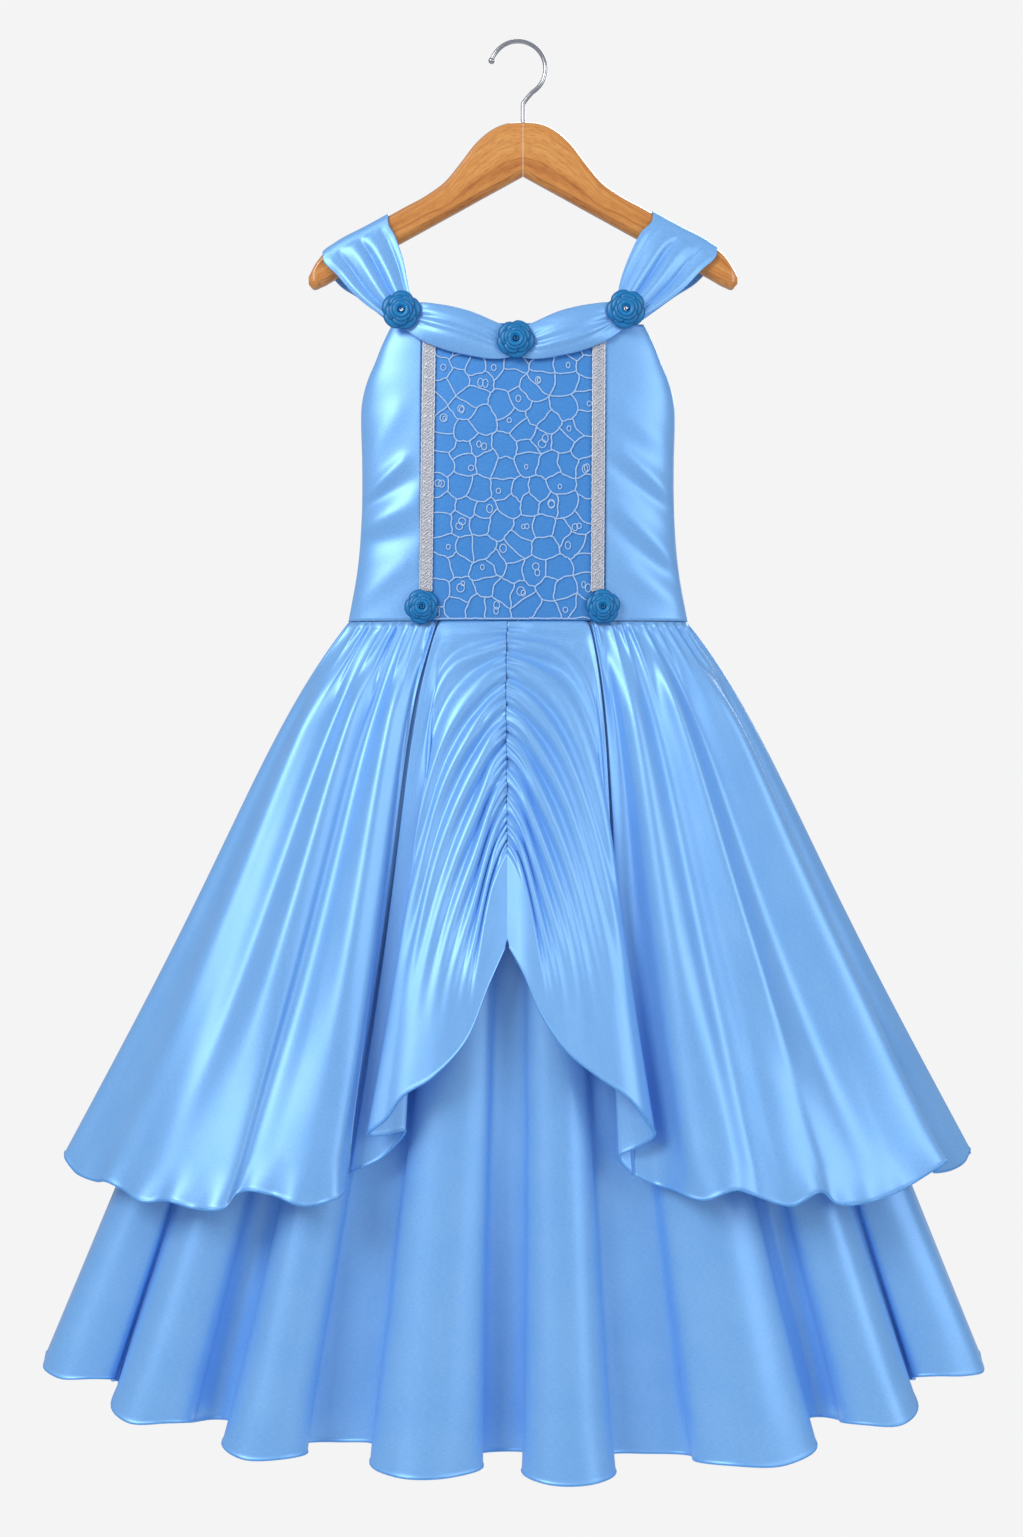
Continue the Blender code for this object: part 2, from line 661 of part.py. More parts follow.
def fold_route(folds, side_x, side_z):
    """Hem of the front as seen from above: up each fold's side, over its crest and down again."""
    half = SEAM_GAP / 2
    route = [(side_x[0], -half, side_z), (side_x[0], -8.0, side_z - 3.0)]
    before = 8.0
    for number, fold in enumerate(folds):
        wide = fold.right - fold.left
        rise_left, rise_right = fold.crest - before, fold.crest - fold.valley
        mid_left = fold.low + 0.35 * (folds[number - 1].valley_low - fold.low) if number else fold.low + 5.0
        mid_right = fold.low + 0.35 * (fold.valley_low - fold.low)
        if number:
            route.append((fold.left + fold.roll_left, -before - 0.2 * rise_left, folds[number - 1].valley_low))
        route.append((fold.left + 0.02 * wide, -before - 0.62 * rise_left, mid_left))
        route.append((fold.left + 0.26 * wide, -fold.crest + 2.0, fold.low))
        route.append((fold.right - 0.26 * wide, -fold.crest + 2.0, fold.low))
        route.append((fold.right - 0.02 * wide, -fold.valley - 0.62 * rise_right, mid_right))
        if number < len(folds) - 1:
            route.append((fold.right - fold.roll_right, -fold.valley - 0.2 * rise_right, fold.valley_low))
            follower = folds[number + 1]
            middle = (fold.right - fold.roll_right + follower.left + follower.roll_left) / 2
            route.append((middle, -fold.valley, fold.valley_low))
        before = fold.valley
    route += [(side_x[1], -8.0, side_z - 3.0), (side_x[1], -half, side_z)]
    return route


def back_route(side_x, side_z, centre_z, deep, shallow, waves):
    """Hem of the back, from the left side seam to the right, in even soft waves near the wall."""
    half = SEAM_GAP / 2
    steps = waves * 4
    route = [(side_x[0], half, side_z), (side_x[0], 7.0, side_z - 2.0)]
    for step in range(1, steps):
        share = step / steps
        x = side_x[0] + (side_x[1] - side_x[0]) * share
        swell = math.sin(math.pi * share)
        wave = 0.5 - 0.5 * math.cos(2 * math.pi * waves * share)
        y = shallow * min(1.0, swell * 2) + (deep - shallow) * wave * swell
        route.append((x * 0.985, y, side_z + (centre_z - side_z) * swell - 3.0 * wave))
    route += [(side_x[1], 7.0, side_z - 2.0), (side_x[1], half, side_z)]
    return route


SEAM_SIDES = ((0, (0, 1, 0)), (-1, (0, 1, 0)))


def make_underskirt(pale):
    columns = np.linspace(0.0, 1.0, 65)
    waist = waist_line(np.linspace(-1.0, 1.0, 65), UNDER_INSET, "front")
    waist[0, 1] = waist[-1, 1] = -SEAM_GAP / 2
    route = fold_route(UNDER_FOLDS, UNDER_SIDE_X, UNDER_SIDE_Z)
    grid = skirt_grid(waist, route, columns, (0.0, 0.15, 0.4, 0.7, 1.0))
    cloth("underskirt_front", grid, pale, hem=HEM_ROLL, level=(0,), upright=SEAM_SIDES)
    columns = np.linspace(0.0, 1.0, 37)
    route = back_route(UNDER_SIDE_X, UNDER_SIDE_Z, -1108.0, 36.0, 10.0, UNDER_BACK_WAVES)
    waist = waist_line(np.linspace(-1.0, 1.0, 37), UNDER_INSET, "back")
    waist[0, 1] = waist[-1, 1] = SEAM_GAP / 2
    grid = skirt_grid(waist, route, columns, (0.0, 0.15, 0.5, 1.0))
    cloth("underskirt_back", grid, pale, hem=HEM_ROLL, level=(0,), upright=SEAM_SIDES)


# Overskirt: a ruched drape and a side panel on each half, and a plain back

HemRow = namedtuple("HemRow", "x y z gather")
LEFT_DRAPE_HEM = [
    HemRow(-8.55, -70.0, -716.7, 0.0),
    HemRow(-22.0, -78.0, -747.0, 8.0),
    HemRow(-41.0, -88.0, -792.0, 18.0),
    HemRow(-67.0, -94.0, -819.0, 28.0),
    HemRow(-90.0, -93.0, -834.0, 37.0),
    HemRow(-101.0, -91.0, -850.0, 42.0),
    HemRow(-116.0, -84.0, -864.0, 47.0),
    HemRow(-102.0, -77.0, -864.0, 49.0),
    HemRow(-88.0, -72.0, -862.0, 51.0),
    HemRow(-103.0, -67.0, -881.0, 53.0),
    HemRow(-131.0, -66.0, -896.0, 56.0),
]
LEFT_SIDE_HEM = [
    HemRow(-131.6, -66.2, -897.0, 56.0),
    HemRow(-136.0, -74.0, -899.0, 57.0),
    HemRow(-127.4, -86.0, -902.0, 59.0),
    HemRow(-137.0, -99.0, -909.0, 62.0),
    HemRow(-165.0, -106.0, -915.0, 70.0),
    HemRow(-190.0, -101.0, -907.0, 78.0),
    HemRow(-215.0, -94.0, -907.0, 85.0),
    HemRow(-226.0, -100.0, -918.0, 89.0),
    HemRow(-246.0, -96.0, -919.0, 95.0),
    HemRow(-274.0, -85.0, -914.0, 103.0),
    HemRow(-290.0, -80.0, -914.0, 108.0),
    HemRow(-301.0, -71.0, -905.0, 113.0),
    HemRow(-325.0, -56.0, -899.0, 121.0),
    HemRow(-348.0, -34.0, -894.0, 130.0),
    HemRow(-362.0, -12.0, -889.0, 136.5),
    HemRow(-362.4, -0.15, -888.0, 140.0),
]
RIGHT_DRAPE_HEM = [
    HemRow(-8.25, -70.0, -716.7, 0.0),
    HemRow(3.0, -78.0, -737.0, 8.0),
    HemRow(19.0, -86.0, -773.0, 18.0),
    HemRow(36.0, -90.0, -797.0, 27.0),
    HemRow(62.0, -95.0, -818.0, 38.0),
    HemRow(85.0, -96.0, -834.0, 46.0),
    HemRow(99.0, -93.0, -852.0, 53.0),
    HemRow(105.4, -86.0, -864.0, 58.0),
    HemRow(92.0, -77.0, -874.0, 61.0),
    HemRow(78.5, -72.0, -882.0, 63.0),
    HemRow(89.0, -69.0, -896.0, 66.0),
]
RIGHT_SIDE_HEM = [
    HemRow(89.6, -69.0, -897.0, 66.0),
    HemRow(105.4, -73.0, -904.0, 69.0),
    HemRow(121.0, -88.0, -907.0, 72.0),
    HemRow(142.0, -105.0, -911.0, 80.0),
    HemRow(169.0, -106.0, -903.0, 89.0),
    HemRow(187.0, -100.0, -910.0, 95.0),
    HemRow(209.0, -107.0, -915.0, 102.0),
    HemRow(235.0, -98.0, -906.0, 110.0),
    HemRow(246.0, -94.0, -915.0, 114.0),
    HemRow(271.0, -86.0, -915.0, 122.0),
    HemRow(298.0, -74.0, -904.0, 131.0),
    HemRow(334.6, -54.0, -889.0, 141.0),
    HemRow(329.0, -40.0, -893.0, 144.0),
    HemRow(343.0, -27.0, -893.0, 148.0),
    HemRow(361.0, -12.0, -886.0, 152.0),
    HemRow(361.6, -0.15, -885.0, 156.0),
]
PUCKERS = 13
PUCKER_SHARE = 0.72
PUCKER_DEPTH = 4.4
PUCKER_ENDS = ((0.65, 0.86), (0.8, 0.3))
DRAPE_COLUMNS = 11
DRAPE_SEAM = 1.7
DRAPE_GROWTH = 2.4
SIDE_DOWNS = (0.0, 0.03, 0.1, 0.22, 0.45, 0.72, 1.0)
ArcShape = namedtuple("ArcShape", "radius squareness")
ARC_SHAPES = [
    ArcShape(0.0, 2.0),
    ArcShape(0.3, 2.1),
    ArcShape(0.6, 2.3),
    ArcShape(0.85, 3.0),
    ArcShape(0.96, 6.0),
    ArcShape(1.0, 60.0),
]


def waist_from_seam(distance, half_length, side):
    """Waist points at distances along the front waist from the ruched seam.
    half_length is the whole distance to that side's seam."""
    start = CENTRE_SEAM_X * 0.93 / BODICE_RINGS[0].half_width
    share = start + (side - start) * np.asarray(distance) / half_length
    return waist_line(share, 0.0, "front")


def pucker_arc(radius):
    """One fold's run, as shares across and down the drape: it leaves the seam at a height of
    1 - radius, runs outwards, turns, and ends on the hem at a share of radius."""
    power = np.interp(radius, *zip(*ARC_SHAPES))
    first = np.linspace(0.0, 0.5 ** (1 / power), 81)
    second = (1 - first**power) ** (1 / power)
    across = np.concatenate([first, second[-2::-1]])
    up = np.concatenate([second, first[-2::-1]])
    return radius * across, 1.0 - radius * up


def make_drape(name, rows, side, half_length, material):
    """The drape's rows follow its folds, each an arc about the top of the slit."""
    steps = PUCKERS * 2
    radii = [1.0 - PUCKER_SHARE * step / steps for step in range(steps + 1)]
    radii += [(1.0 - PUCKER_SHARE) * left for left in (0.8, 0.6, 0.4, 0.2, 0.05)]
    half = SEAM_GAP / 2
    wanted = np.linspace(0.0, 1.0, DRAPE_COLUMNS + 1) ** 1.25
    smooth = []
    for radius in radii:
        across, down = pucker_arc(radius)
        calm, hem = calmed(rows, across), flowing(rows, across)
        waist = waist_from_seam(calm[:, 3], half_length, side)
        waist[0, 0] = calm[0, 0] = hem[0, 0] = CENTRE_SEAM_X + side * half
        run = hung(waist, calm, hem, down, growth=DRAPE_GROWTH)
        length = np.concatenate([[0.0], np.cumsum(np.linalg.norm(np.diff(run, axis=0), axis=1))])
        smooth.append(np.stack([np.interp(wanted * length[-1], length, part) for part in run.T], axis=1))
    grid = np.array(smooth)
    spacing = np.linalg.norm(np.diff(grid, axis=0), axis=2)
    for number in range(1, steps + 1):
        ends = np.interp(radii[number], PUCKER_ENDS[0], PUCKER_ENDS[1])
        fade = np.clip((ends - wanted) / 0.35, 0.0, 1.0)
        swell = np.clip(0.75 * (spacing[number - 1] - 2.4), 0.0, PUCKER_DEPTH) * fade
        grid[number, :, 1] -= swell * (0.5 if number % 2 else -0.5)
    cloth(name, grid if side > 0 else grid[:, ::-1], material,
          upright=((0 if side > 0 else -1, (1, 0, 0)),))


def make_side(name, rows, side, half_length, gathers, material):
    columns = np.linspace(0.0, 1.0, gathers * 4 + 1)
    waist = waist_from_seam(calmed(rows, columns)[:, 3], half_length, side)
    waist[-1, 1] = -SEAM_GAP / 2
    grid = skirt_grid(waist, rows, columns, SIDE_DOWNS, gathers=gathers)
    grid[:, :7, 0] += side * DRAPE_SEAM * np.linspace(1.0, 0.0, 7)
    ends = ((-1 if side > 0 else 0, (0, 1, 0)),)
    cloth(name, grid if side > 0 else grid[:, ::-1], material, hem=HEM_ROLL, level=(0,), upright=ends)


def make_overskirt(pale):
    left_length, right_length = LEFT_SIDE_HEM[-1].gather, RIGHT_SIDE_HEM[-1].gather
    make_drape("overskirt_drape_left", LEFT_DRAPE_HEM, -1, left_length, pale)
    make_drape("overskirt_drape_right", RIGHT_DRAPE_HEM, 1, right_length, pale)
    make_side("overskirt_side_left", LEFT_SIDE_HEM, -1, left_length, 8, pale)
    make_side("overskirt_side_right", RIGHT_SIDE_HEM, 1, right_length, 8, pale)
    side_x = (LEFT_SIDE_HEM[-1].x, RIGHT_SIDE_HEM[-1].x)
    route = back_route(side_x, -888.0, -926.0, 60.0, 35.0, 6)
    waist = waist_line(np.linspace(-1.0, 1.0, 37), 0.0, "back")
    waist[0, 1] = waist[-1, 1] = SEAM_GAP / 2
    grid = skirt_grid(waist, route, np.linspace(0.0, 1.0, 37), SIDE_DOWNS, gathers=9)
    cloth("overskirt_back", grid, pale, hem=HEM_ROLL, level=(0,), upright=SEAM_SIDES)


def build():
    clear_scene()
    pale = finish("pale_blue_satin", (0.36, 0.62, 0.91), 0.34)
    deep = finish("deep_blue_satin", (0.10, 0.33, 0.76), 0.42)
    corded = finish("corded_lace", (0.45, 0.70, 0.92), 0.5)
    silver = finish("silver_braid", (0.78, 0.78, 0.80), 0.35, 0.6)
    rose = finish("rose_satin", (0.0, 0.30, 0.66), 0.38)
    wood = finish("lacquered_wood", (0.62, 0.30, 0.09), 0.3)
    steel = finish("bright_steel", (0.66, 0.66, 0.67), 0.22, 1.0)
    make_arm("hanger_arm_left", -1, wood)
    make_arm("hanger_arm_right", 1, wood)
    make_hook("hanger_hook", steel)
    make_bodice(pale, deep)
    make_lace(corded)
    for name, (top_x, foot_x) in BRAIDS.items():
        make_braid(name, top_x, foot_x, silver)
    make_neckline(pale)
    make_strap("strap_left", LEFT_STRAP_FRONT, LEFT_STRAP_BACK, pale)
    make_strap("strap_right", RIGHT_STRAP_FRONT, RIGHT_STRAP_BACK, pale)
    for name, place in ROSES.items():
        make_rose(name, place, rose)
    make_underskirt(pale)
    make_overskirt(pale)


build()
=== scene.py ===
"""A child's satin costume gown on a wooden hanger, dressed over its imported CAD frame.

Sizes in the tables are millimetres, and MM turns them to the frame's metres. The front faces -Y.
"""

import math
from collections import namedtuple

import bmesh
import bpy
import numpy as np
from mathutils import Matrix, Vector
from mathutils.geometry import delaunay_2d_cdt


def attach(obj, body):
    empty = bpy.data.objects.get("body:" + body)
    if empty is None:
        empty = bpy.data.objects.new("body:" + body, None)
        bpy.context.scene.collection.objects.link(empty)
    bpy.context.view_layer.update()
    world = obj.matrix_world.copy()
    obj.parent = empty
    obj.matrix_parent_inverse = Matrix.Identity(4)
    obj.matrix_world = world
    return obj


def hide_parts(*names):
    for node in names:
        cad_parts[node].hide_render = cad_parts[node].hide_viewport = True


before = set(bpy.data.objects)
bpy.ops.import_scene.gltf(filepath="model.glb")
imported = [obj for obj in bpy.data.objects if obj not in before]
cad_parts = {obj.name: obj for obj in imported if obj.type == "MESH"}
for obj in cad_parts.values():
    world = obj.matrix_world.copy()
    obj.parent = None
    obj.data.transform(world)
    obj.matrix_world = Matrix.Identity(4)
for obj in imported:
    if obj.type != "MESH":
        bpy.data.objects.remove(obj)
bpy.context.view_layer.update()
MM = 0.001

# Camera, studio light and floor
# The photograph is taken straight on from about 2.4 m, in front of a plain pale ground.
# A large soft box stands high on the left, a weaker one on the right, and one lights the back.

scene = bpy.context.scene
scene.view_settings.view_transform = "Standard"
VIEW_DISTANCE = 2.4
VIEW_HEIGHT = 1.2296
SENSOR = 36.0

lens = bpy.data.cameras.new("camera")
lens.sensor_fit = "VERTICAL"
lens.sensor_height = SENSOR
lens.lens = SENSOR * VIEW_DISTANCE / VIEW_HEIGHT
lens.shift_x = -6.5 / 1537
camera = bpy.data.objects.new("camera", lens)
camera.location = (0.0, -VIEW_DISTANCE, -0.58)
camera.rotation_euler = (math.pi / 2, 0.0, 0.0)
scene.collection.objects.link(camera)
scene.camera = camera


def linear(code):
    """An sRGB hex colour as linear red, green, blue and alpha."""
    parts = [int(code[i : i + 2], 16) / 255 for i in (1, 3, 5)]
    return tuple(p / 12.92 if p <= 0.04045 else ((p + 0.055) / 1.055) ** 2.4 for p in parts) + (1.0,)


def add(tree, kind, sockets=(), **settings):
    """Adds a node, with its settings, and a value or a link into each named socket."""
    node = tree.nodes.new(kind)
    for name, value in settings.items():
        setattr(node, name, value)
    for name, value in dict(sockets).items():
        if isinstance(value, bpy.types.NodeSocket):
            tree.links.new(value, node.inputs[name])
        else:
            node.inputs[name].default_value = value
    return node


def new_material(name):
    """An empty material and its shader, which is already linked to the output."""
    material = bpy.data.materials.new(name)
    material.use_nodes = True
    return material, material.node_tree, material.node_tree.nodes["Principled BSDF"]


Softbox = namedtuple("Softbox", "name place target width watts")
SOFTBOXES = [
    Softbox("key", (-1.7, -2.2, 0.9), (0.0, 0.0, -0.6), 1.3, 48.0),
    Softbox("fill", (2.1, -2.0, 0.1), (0.0, 0.0, -0.6), 1.5, 20.0),
    Softbox("back", (0.8, 2.4, 0.9), (0.0, 0.0, -0.6), 1.8, 45.0),
]
for box in SOFTBOXES:
    light = bpy.data.lights.new(box.name, "AREA")
    light.size = box.width
    light.energy = box.watts
    lamp = bpy.data.objects.new(box.name, light)
    lamp.location = box.place
    lamp.rotation_euler = (Vector(box.target) - Vector(box.place)).to_track_quat("-Z", "Y").to_euler()
    scene.collection.objects.link(lamp)

world = bpy.data.worlds.new("studio")
world.use_nodes = True
scene.world = world
sky = world.node_tree
sky.nodes.clear()
seen = add(sky, "ShaderNodeBackground", {"Color": linear("#f4f4f5"), "Strength": 1.0})
glow = add(sky, "ShaderNodeBackground", {"Color": linear("#f0f4ff"), "Strength": 0.5})
path = add(sky, "ShaderNodeLightPath")
both = add(sky, "ShaderNodeMixShader", {0: path.outputs["Is Camera Ray"]})
sky.links.new(glow.outputs[0], both.inputs[1])
sky.links.new(seen.outputs[0], both.inputs[2])
add(sky, "ShaderNodeOutputWorld", {"Surface": both.outputs[0]})

FLOOR_Z = -1.45
ground = bmesh.new()
bmesh.ops.create_circle(ground, cap_ends=True, segments=96, radius=0.95)
bmesh.ops.translate(ground, verts=ground.verts, vec=(0.0, 0.0, FLOOR_Z))
floor_mesh = bpy.data.meshes.new("floor")
ground.to_mesh(floor_mesh)
ground.free()
floor = bpy.data.objects.new("floor", floor_mesh)
scene.collection.objects.link(floor)
painted, tree, shader = new_material("pale_painted_floor")
shader.inputs["Base Color"].default_value = linear("#ececec")
shader.inputs["Roughness"].default_value = 0.7
floor_mesh.materials.append(painted)

# Hanger arms
# Two pieces of beech, mitred in the middle, with a rounded crown and a chamfered foot.
# They are shaped on a router, sanded and dipped in clear honey lacquer.

ArmSection = namedtuple("ArmSection", "out top bottom")
ARM_SECTIONS = [
    ArmSection(0.0, -63.2, -106.4),
    ArmSection(14.0, -64.5, -114.1),
    ArmSection(26.0, -70.0, -120.7),
    ArmSection(38.0, -80.5, -127.3),
    ArmSection(50.0, -96.0, -134.0),
    ArmSection(61.0, -109.5, -140.0),
    ArmSection(76.0, -121.0, -148.3),
    ArmSection(95.0, -131.5, -158.7),
    ArmSection(125.0, -148.0, -175.3),
    ArmSection(150.0, -161.5, -189.0),
    ArmSection(161.0, -170.0, -195.0),
    ArmSection(168.0, -180.5, -196.5),
    ArmSection(171.0, -187.0, -193.0),
]
ARM_CENTRE_X = 4.0
ARM_HALF_THICK = 8.0
ARM_CROWN = 5.0
ARM_CHAMFER = 5.0
MITRE_GAP = 0.15


def eased(value, table):
    """Value of a two-column table, rising or falling smoothly between its rows."""
    rows = np.array(table, float)
    rows = rows[np.argsort(rows[:, 0])]
    index = np.clip(np.searchsorted(rows[:, 0], value) - 1, 0, len(rows) - 2)
    slopes = np.gradient(rows[:, 1], rows[:, 0])
    span = rows[index + 1, 0] - rows[index, 0]
    u = np.clip((value - rows[index, 0]) / span, 0.0, 1.0)
    return (
        (2 * u**3 - 3 * u**2 + 1) * rows[index, 1]
        + (u**3 - 2 * u**2 + u) * span * slopes[index]
        + (3 * u**2 - 2 * u**3) * rows[index + 1, 1]
        + (u**3 - u**2) * span * slopes[index + 1]
    )


def laid_grid(points, cut):
    """A mesh grid moved onto an array of points, rows down and columns across, in millimetres.
    Its UV map is the cloth or veneer laid flat, in metres: cut is (width, length)."""
    rows, columns = points.shape[:2]
    flat = bmesh.new()
    flat.loops.layers.uv.new("laid_flat")
    bmesh.ops.create_grid(flat, x_segments=columns - 1, y_segments=rows - 1, size=0.5, calc_uvs=True)
    mesh = bpy.data.meshes.new("grid")
    flat.to_mesh(mesh)
    flat.free()
    place = np.empty(len(mesh.vertices) * 3, np.float32)
    mesh.vertices.foreach_get("co", place)
    place = place.reshape(-1, 3)
    column = np.rint((place[:, 0] + 0.5) * (columns - 1)).astype(int)
    row = np.rint((0.5 - place[:, 1]) * (rows - 1)).astype(int)
    mesh.vertices.foreach_set("co", (points[row, column] * MM).astype(np.float32).ravel())
    uv = np.empty(len(mesh.loops) * 2, np.float32)
    mesh.uv_layers[0].data.foreach_get("uv", uv)
    mesh.uv_layers[0].data.foreach_set("uv", (uv.reshape(-1, 2) * np.array(cut, np.float32)).ravel())
    return mesh, row, column


def add_piece(name, mesh, materials, nodes=(), sharp=None):
    """Puts a mesh in the scene as a piece of the gown that stands for the named CAD nodes."""
    mesh.name = name
    mesh.shade_smooth()
    if sharp:
        mesh.set_sharp_from_angle(angle=math.radians(sharp))
    for material in materials:
        mesh.materials.append(material)
    piece = bpy.data.objects.new(name, mesh)
    scene.collection.objects.link(piece)
    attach(piece, "root")
    if nodes:
        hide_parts(*nodes)
    return piece


def closed_tube(points, cut):
    """A bmesh tube from rings of points, joined along its length and filled at both ends."""
    mesh, _, _ = laid_grid(points, cut)
    tube = bmesh.new()
    tube.from_mesh(mesh)
    bpy.data.meshes.remove(mesh)
    bmesh.ops.remove_doubles(tube, verts=tube.verts, dist=1e-6)
    bmesh.ops.holes_fill(tube, edges=[edge for edge in tube.edges if edge.is_boundary], sides=0)
    bmesh.ops.recalc_face_normals(tube, faces=tube.faces)
    return tube


def lacquered_beech():
    """Straight-grained beech under honey lacquer: pale early wood, darker late-wood lines about
    3 mm apart that run along the arm, short ray flecks, and a glossy coat."""
    material, tree, shader = new_material("lacquered_beech")
    laid = add(tree, "ShaderNodeUVMap", uv_map="laid_flat")
    along = add(tree, "ShaderNodeMapping", {"Vector": laid.outputs[0], "Scale": (330.0, 9.0, 1.0)})
    drift = add(tree, "ShaderNodeTexNoise",
                {"Vector": laid.outputs[0], "Scale": 22.0, "Detail": 2.0})
    bent = add(tree, "ShaderNodeVectorMath",
               {0: drift.outputs["Color"], 1: (3.4, 0.0, 0.0)}, operation="MULTIPLY")
    grain_place = add(tree, "ShaderNodeVectorMath", {0: along.outputs[0], 1: bent.outputs[0]})
    grain = add(tree, "ShaderNodeTexNoise",
                {"Vector": grain_place.outputs[0], "Scale": 1.0, "Detail": 4.0, "Roughness": 0.6})
    fleck_place = add(tree, "ShaderNodeMapping", {"Vector": laid.outputs[0], "Scale": (1500.0, 160.0, 1.0)})
    fleck = add(tree, "ShaderNodeTexNoise", {"Vector": fleck_place.outputs[0], "Scale": 1.0, "Detail": 1.0})
    ramp = add(tree, "ShaderNodeValToRGB", {"Fac": grain.outputs["Fac"]})
    ramp.color_ramp.elements[0].position = 0.3
    ramp.color_ramp.elements[0].color = linear("#b4661f")
    ramp.color_ramp.elements[1].position = 0.68
    ramp.color_ramp.elements[1].color = linear("#e6a352")
    middle = ramp.color_ramp.elements.new(0.5)
    middle.color = linear("#d68c3c")
    dark = add(tree, "ShaderNodeMapRange",
               {"Value": fleck.outputs["Fac"], "From Min": 0.3, "From Max": 0.55, "To Min": 0.3, "To Max": 0.0})
    colour = add(tree, "ShaderNodeMix", {"Factor": dark.outputs[0]}, data_type="RGBA", blend_type="MULTIPLY")
    tree.links.new(ramp.outputs[0], colour.inputs[6])
    colour.inputs[7].default_value = linear("#a8642c")
    tree.links.new(colour.outputs[2], shader.inputs["Base Color"])
    bump = add(tree, "ShaderNodeBump",
               {"Height": grain.outputs["Fac"], "Strength": 0.12, "Distance": 0.0003})
    tree.links.new(bump.outputs[0], shader.inputs["Normal"])
    shader.inputs["Roughness"].default_value = 0.34
    shader.inputs["Coat Weight"].default_value = 0.7
    shader.inputs["Coat Roughness"].default_value = 0.12
    return material


beech = lacquered_beech()
for side, node in ((-1, "hanger_arm_left"), (1, "hanger_arm_right")):
    rings = []
    outs = np.concatenate([np.linspace(0.0, 150.0, 61), np.linspace(152.0, 171.0, 14)])
    for out in outs:
        top = float(eased(out, [(s.out, s.top) for s in ARM_SECTIONS]))
        bottom = float(eased(out, [(s.out, s.bottom) for s in ARM_SECTIONS]))
        grow = min(1.0, (top - bottom) / 20.0)
        half = ARM_HALF_THICK * (0.55 + 0.45 * grow)
        crown, chamfer = ARM_CROWN * grow, ARM_CHAMFER * grow
        x = ARM_CENTRE_X + side * (MITRE_GAP + out)
        ring = [(x, 0.0, bottom), (x, -half + chamfer + 0.6, bottom), (x, -half + chamfer - 0.5, bottom + 0.3)]
        ring += [(x, -half + 0.3, bottom + chamfer - 0.5), (x, -half, bottom + chamfer + 0.7)]
        ring += [(x, -half, z) for z in np.linspace(bottom + chamfer + 1.5, top - crown, 6)]
        for turn in np.radians(np.linspace(15.0, 165.0, 11)):
            ring.append((x, -half * math.cos(turn), top - crown * (1 - math.sin(turn))))
        ring += [(x, half, z) for z in np.linspace(top - crown, bottom + chamfer + 1.5, 6)]
        ring += [(x, half, bottom + chamfer + 0.7), (x, half - 0.3, bottom + chamfer - 0.5)]
        ring += [(x, half - chamfer + 0.5, bottom + 0.3), (x, half - chamfer - 0.6, bottom), (x, 0.0, bottom)]
        rings.append(ring)
    arm = closed_tube(np.array(rings), (0.095, 0.19))
    arm_mesh = bpy.data.meshes.new(node)
    arm.to_mesh(arm_mesh)
    arm.free()
    add_piece("wood_" + node[7:], arm_mesh, [beech], [node], sharp=38)

# Hook
# Bright drawn steel wire of 3.6 mm, screwed into the wood and bent to a question mark.
# Its tip is upset into a small ball so that it catches on nothing.

WIRE_RADIUS = 1.8
HOOK_RADIUS = 22.0
HOOK_ANGLES = (-58, 163)
NECK_BEND_Z = -46.0
TIP_BALL = 2.7


def tube_along(path, radius, facing, around=10):
    """Rings of points about a path. facing is a direction that the path never runs along."""
    path = np.array(path, float)
    run = np.gradient(path, axis=0)
    run /= np.linalg.norm(run, axis=1, keepdims=True)
    side = np.cross(run, facing)
    side /= np.linalg.norm(side, axis=1, keepdims=True)
    out = np.cross(side, run)
    turns = np.linspace(0.0, 2 * math.pi, around + 1)
    radius = np.broadcast_to(radius, len(path))[:, None, None]
    wheel = side[:, None] * np.cos(turns)[None, :, None] + out[:, None] * np.sin(turns)[None, :, None]
    return path[:, None] + wheel * radius


foot = ARM_SECTIONS[0].top - 0.2
stem = [(ARM_CENTRE_X, 0.0, z) for z in np.linspace(foot, NECK_BEND_Z - 2.5, 8)]
centre_z = WIRE_RADIUS - HOOK_RADIUS
bow = []
for turn in np.radians(np.linspace(*HOOK_ANGLES, 60)):
    bow.append((HOOK_RADIUS * math.cos(turn), 0.0, centre_z + HOOK_RADIUS * math.sin(turn)))
start, end = np.array(stem[-1]), np.array(bow[0])
neck = []
for u in (0.15, 0.3, 0.45, 0.6, 0.75, 0.9):
    first = start + np.array((0.0, 0.0, 2.2)) * u * (1 - u)
    neck.append(tuple(first + (end - start) * (u**1.5)))
hook = closed_tube(tube_along(stem + neck + bow, WIRE_RADIUS, (0.0, 1.0, 0.0), 18), (0.011, 0.16))
ball = bmesh.new()
bmesh.ops.create_uvsphere(ball, u_segments=20, v_segments=12, radius=TIP_BALL * MM)
bmesh.ops.translate(ball, verts=ball.verts, vec=Vector(bow[-1]) * MM)
ball_mesh = bpy.data.meshes.new("ball")
ball.to_mesh(ball_mesh)
ball.free()
hook.from_mesh(ball_mesh)
bpy.data.meshes.remove(ball_mesh)
hook_mesh = bpy.data.meshes.new("hook")
hook.to_mesh(hook_mesh)
hook.free()

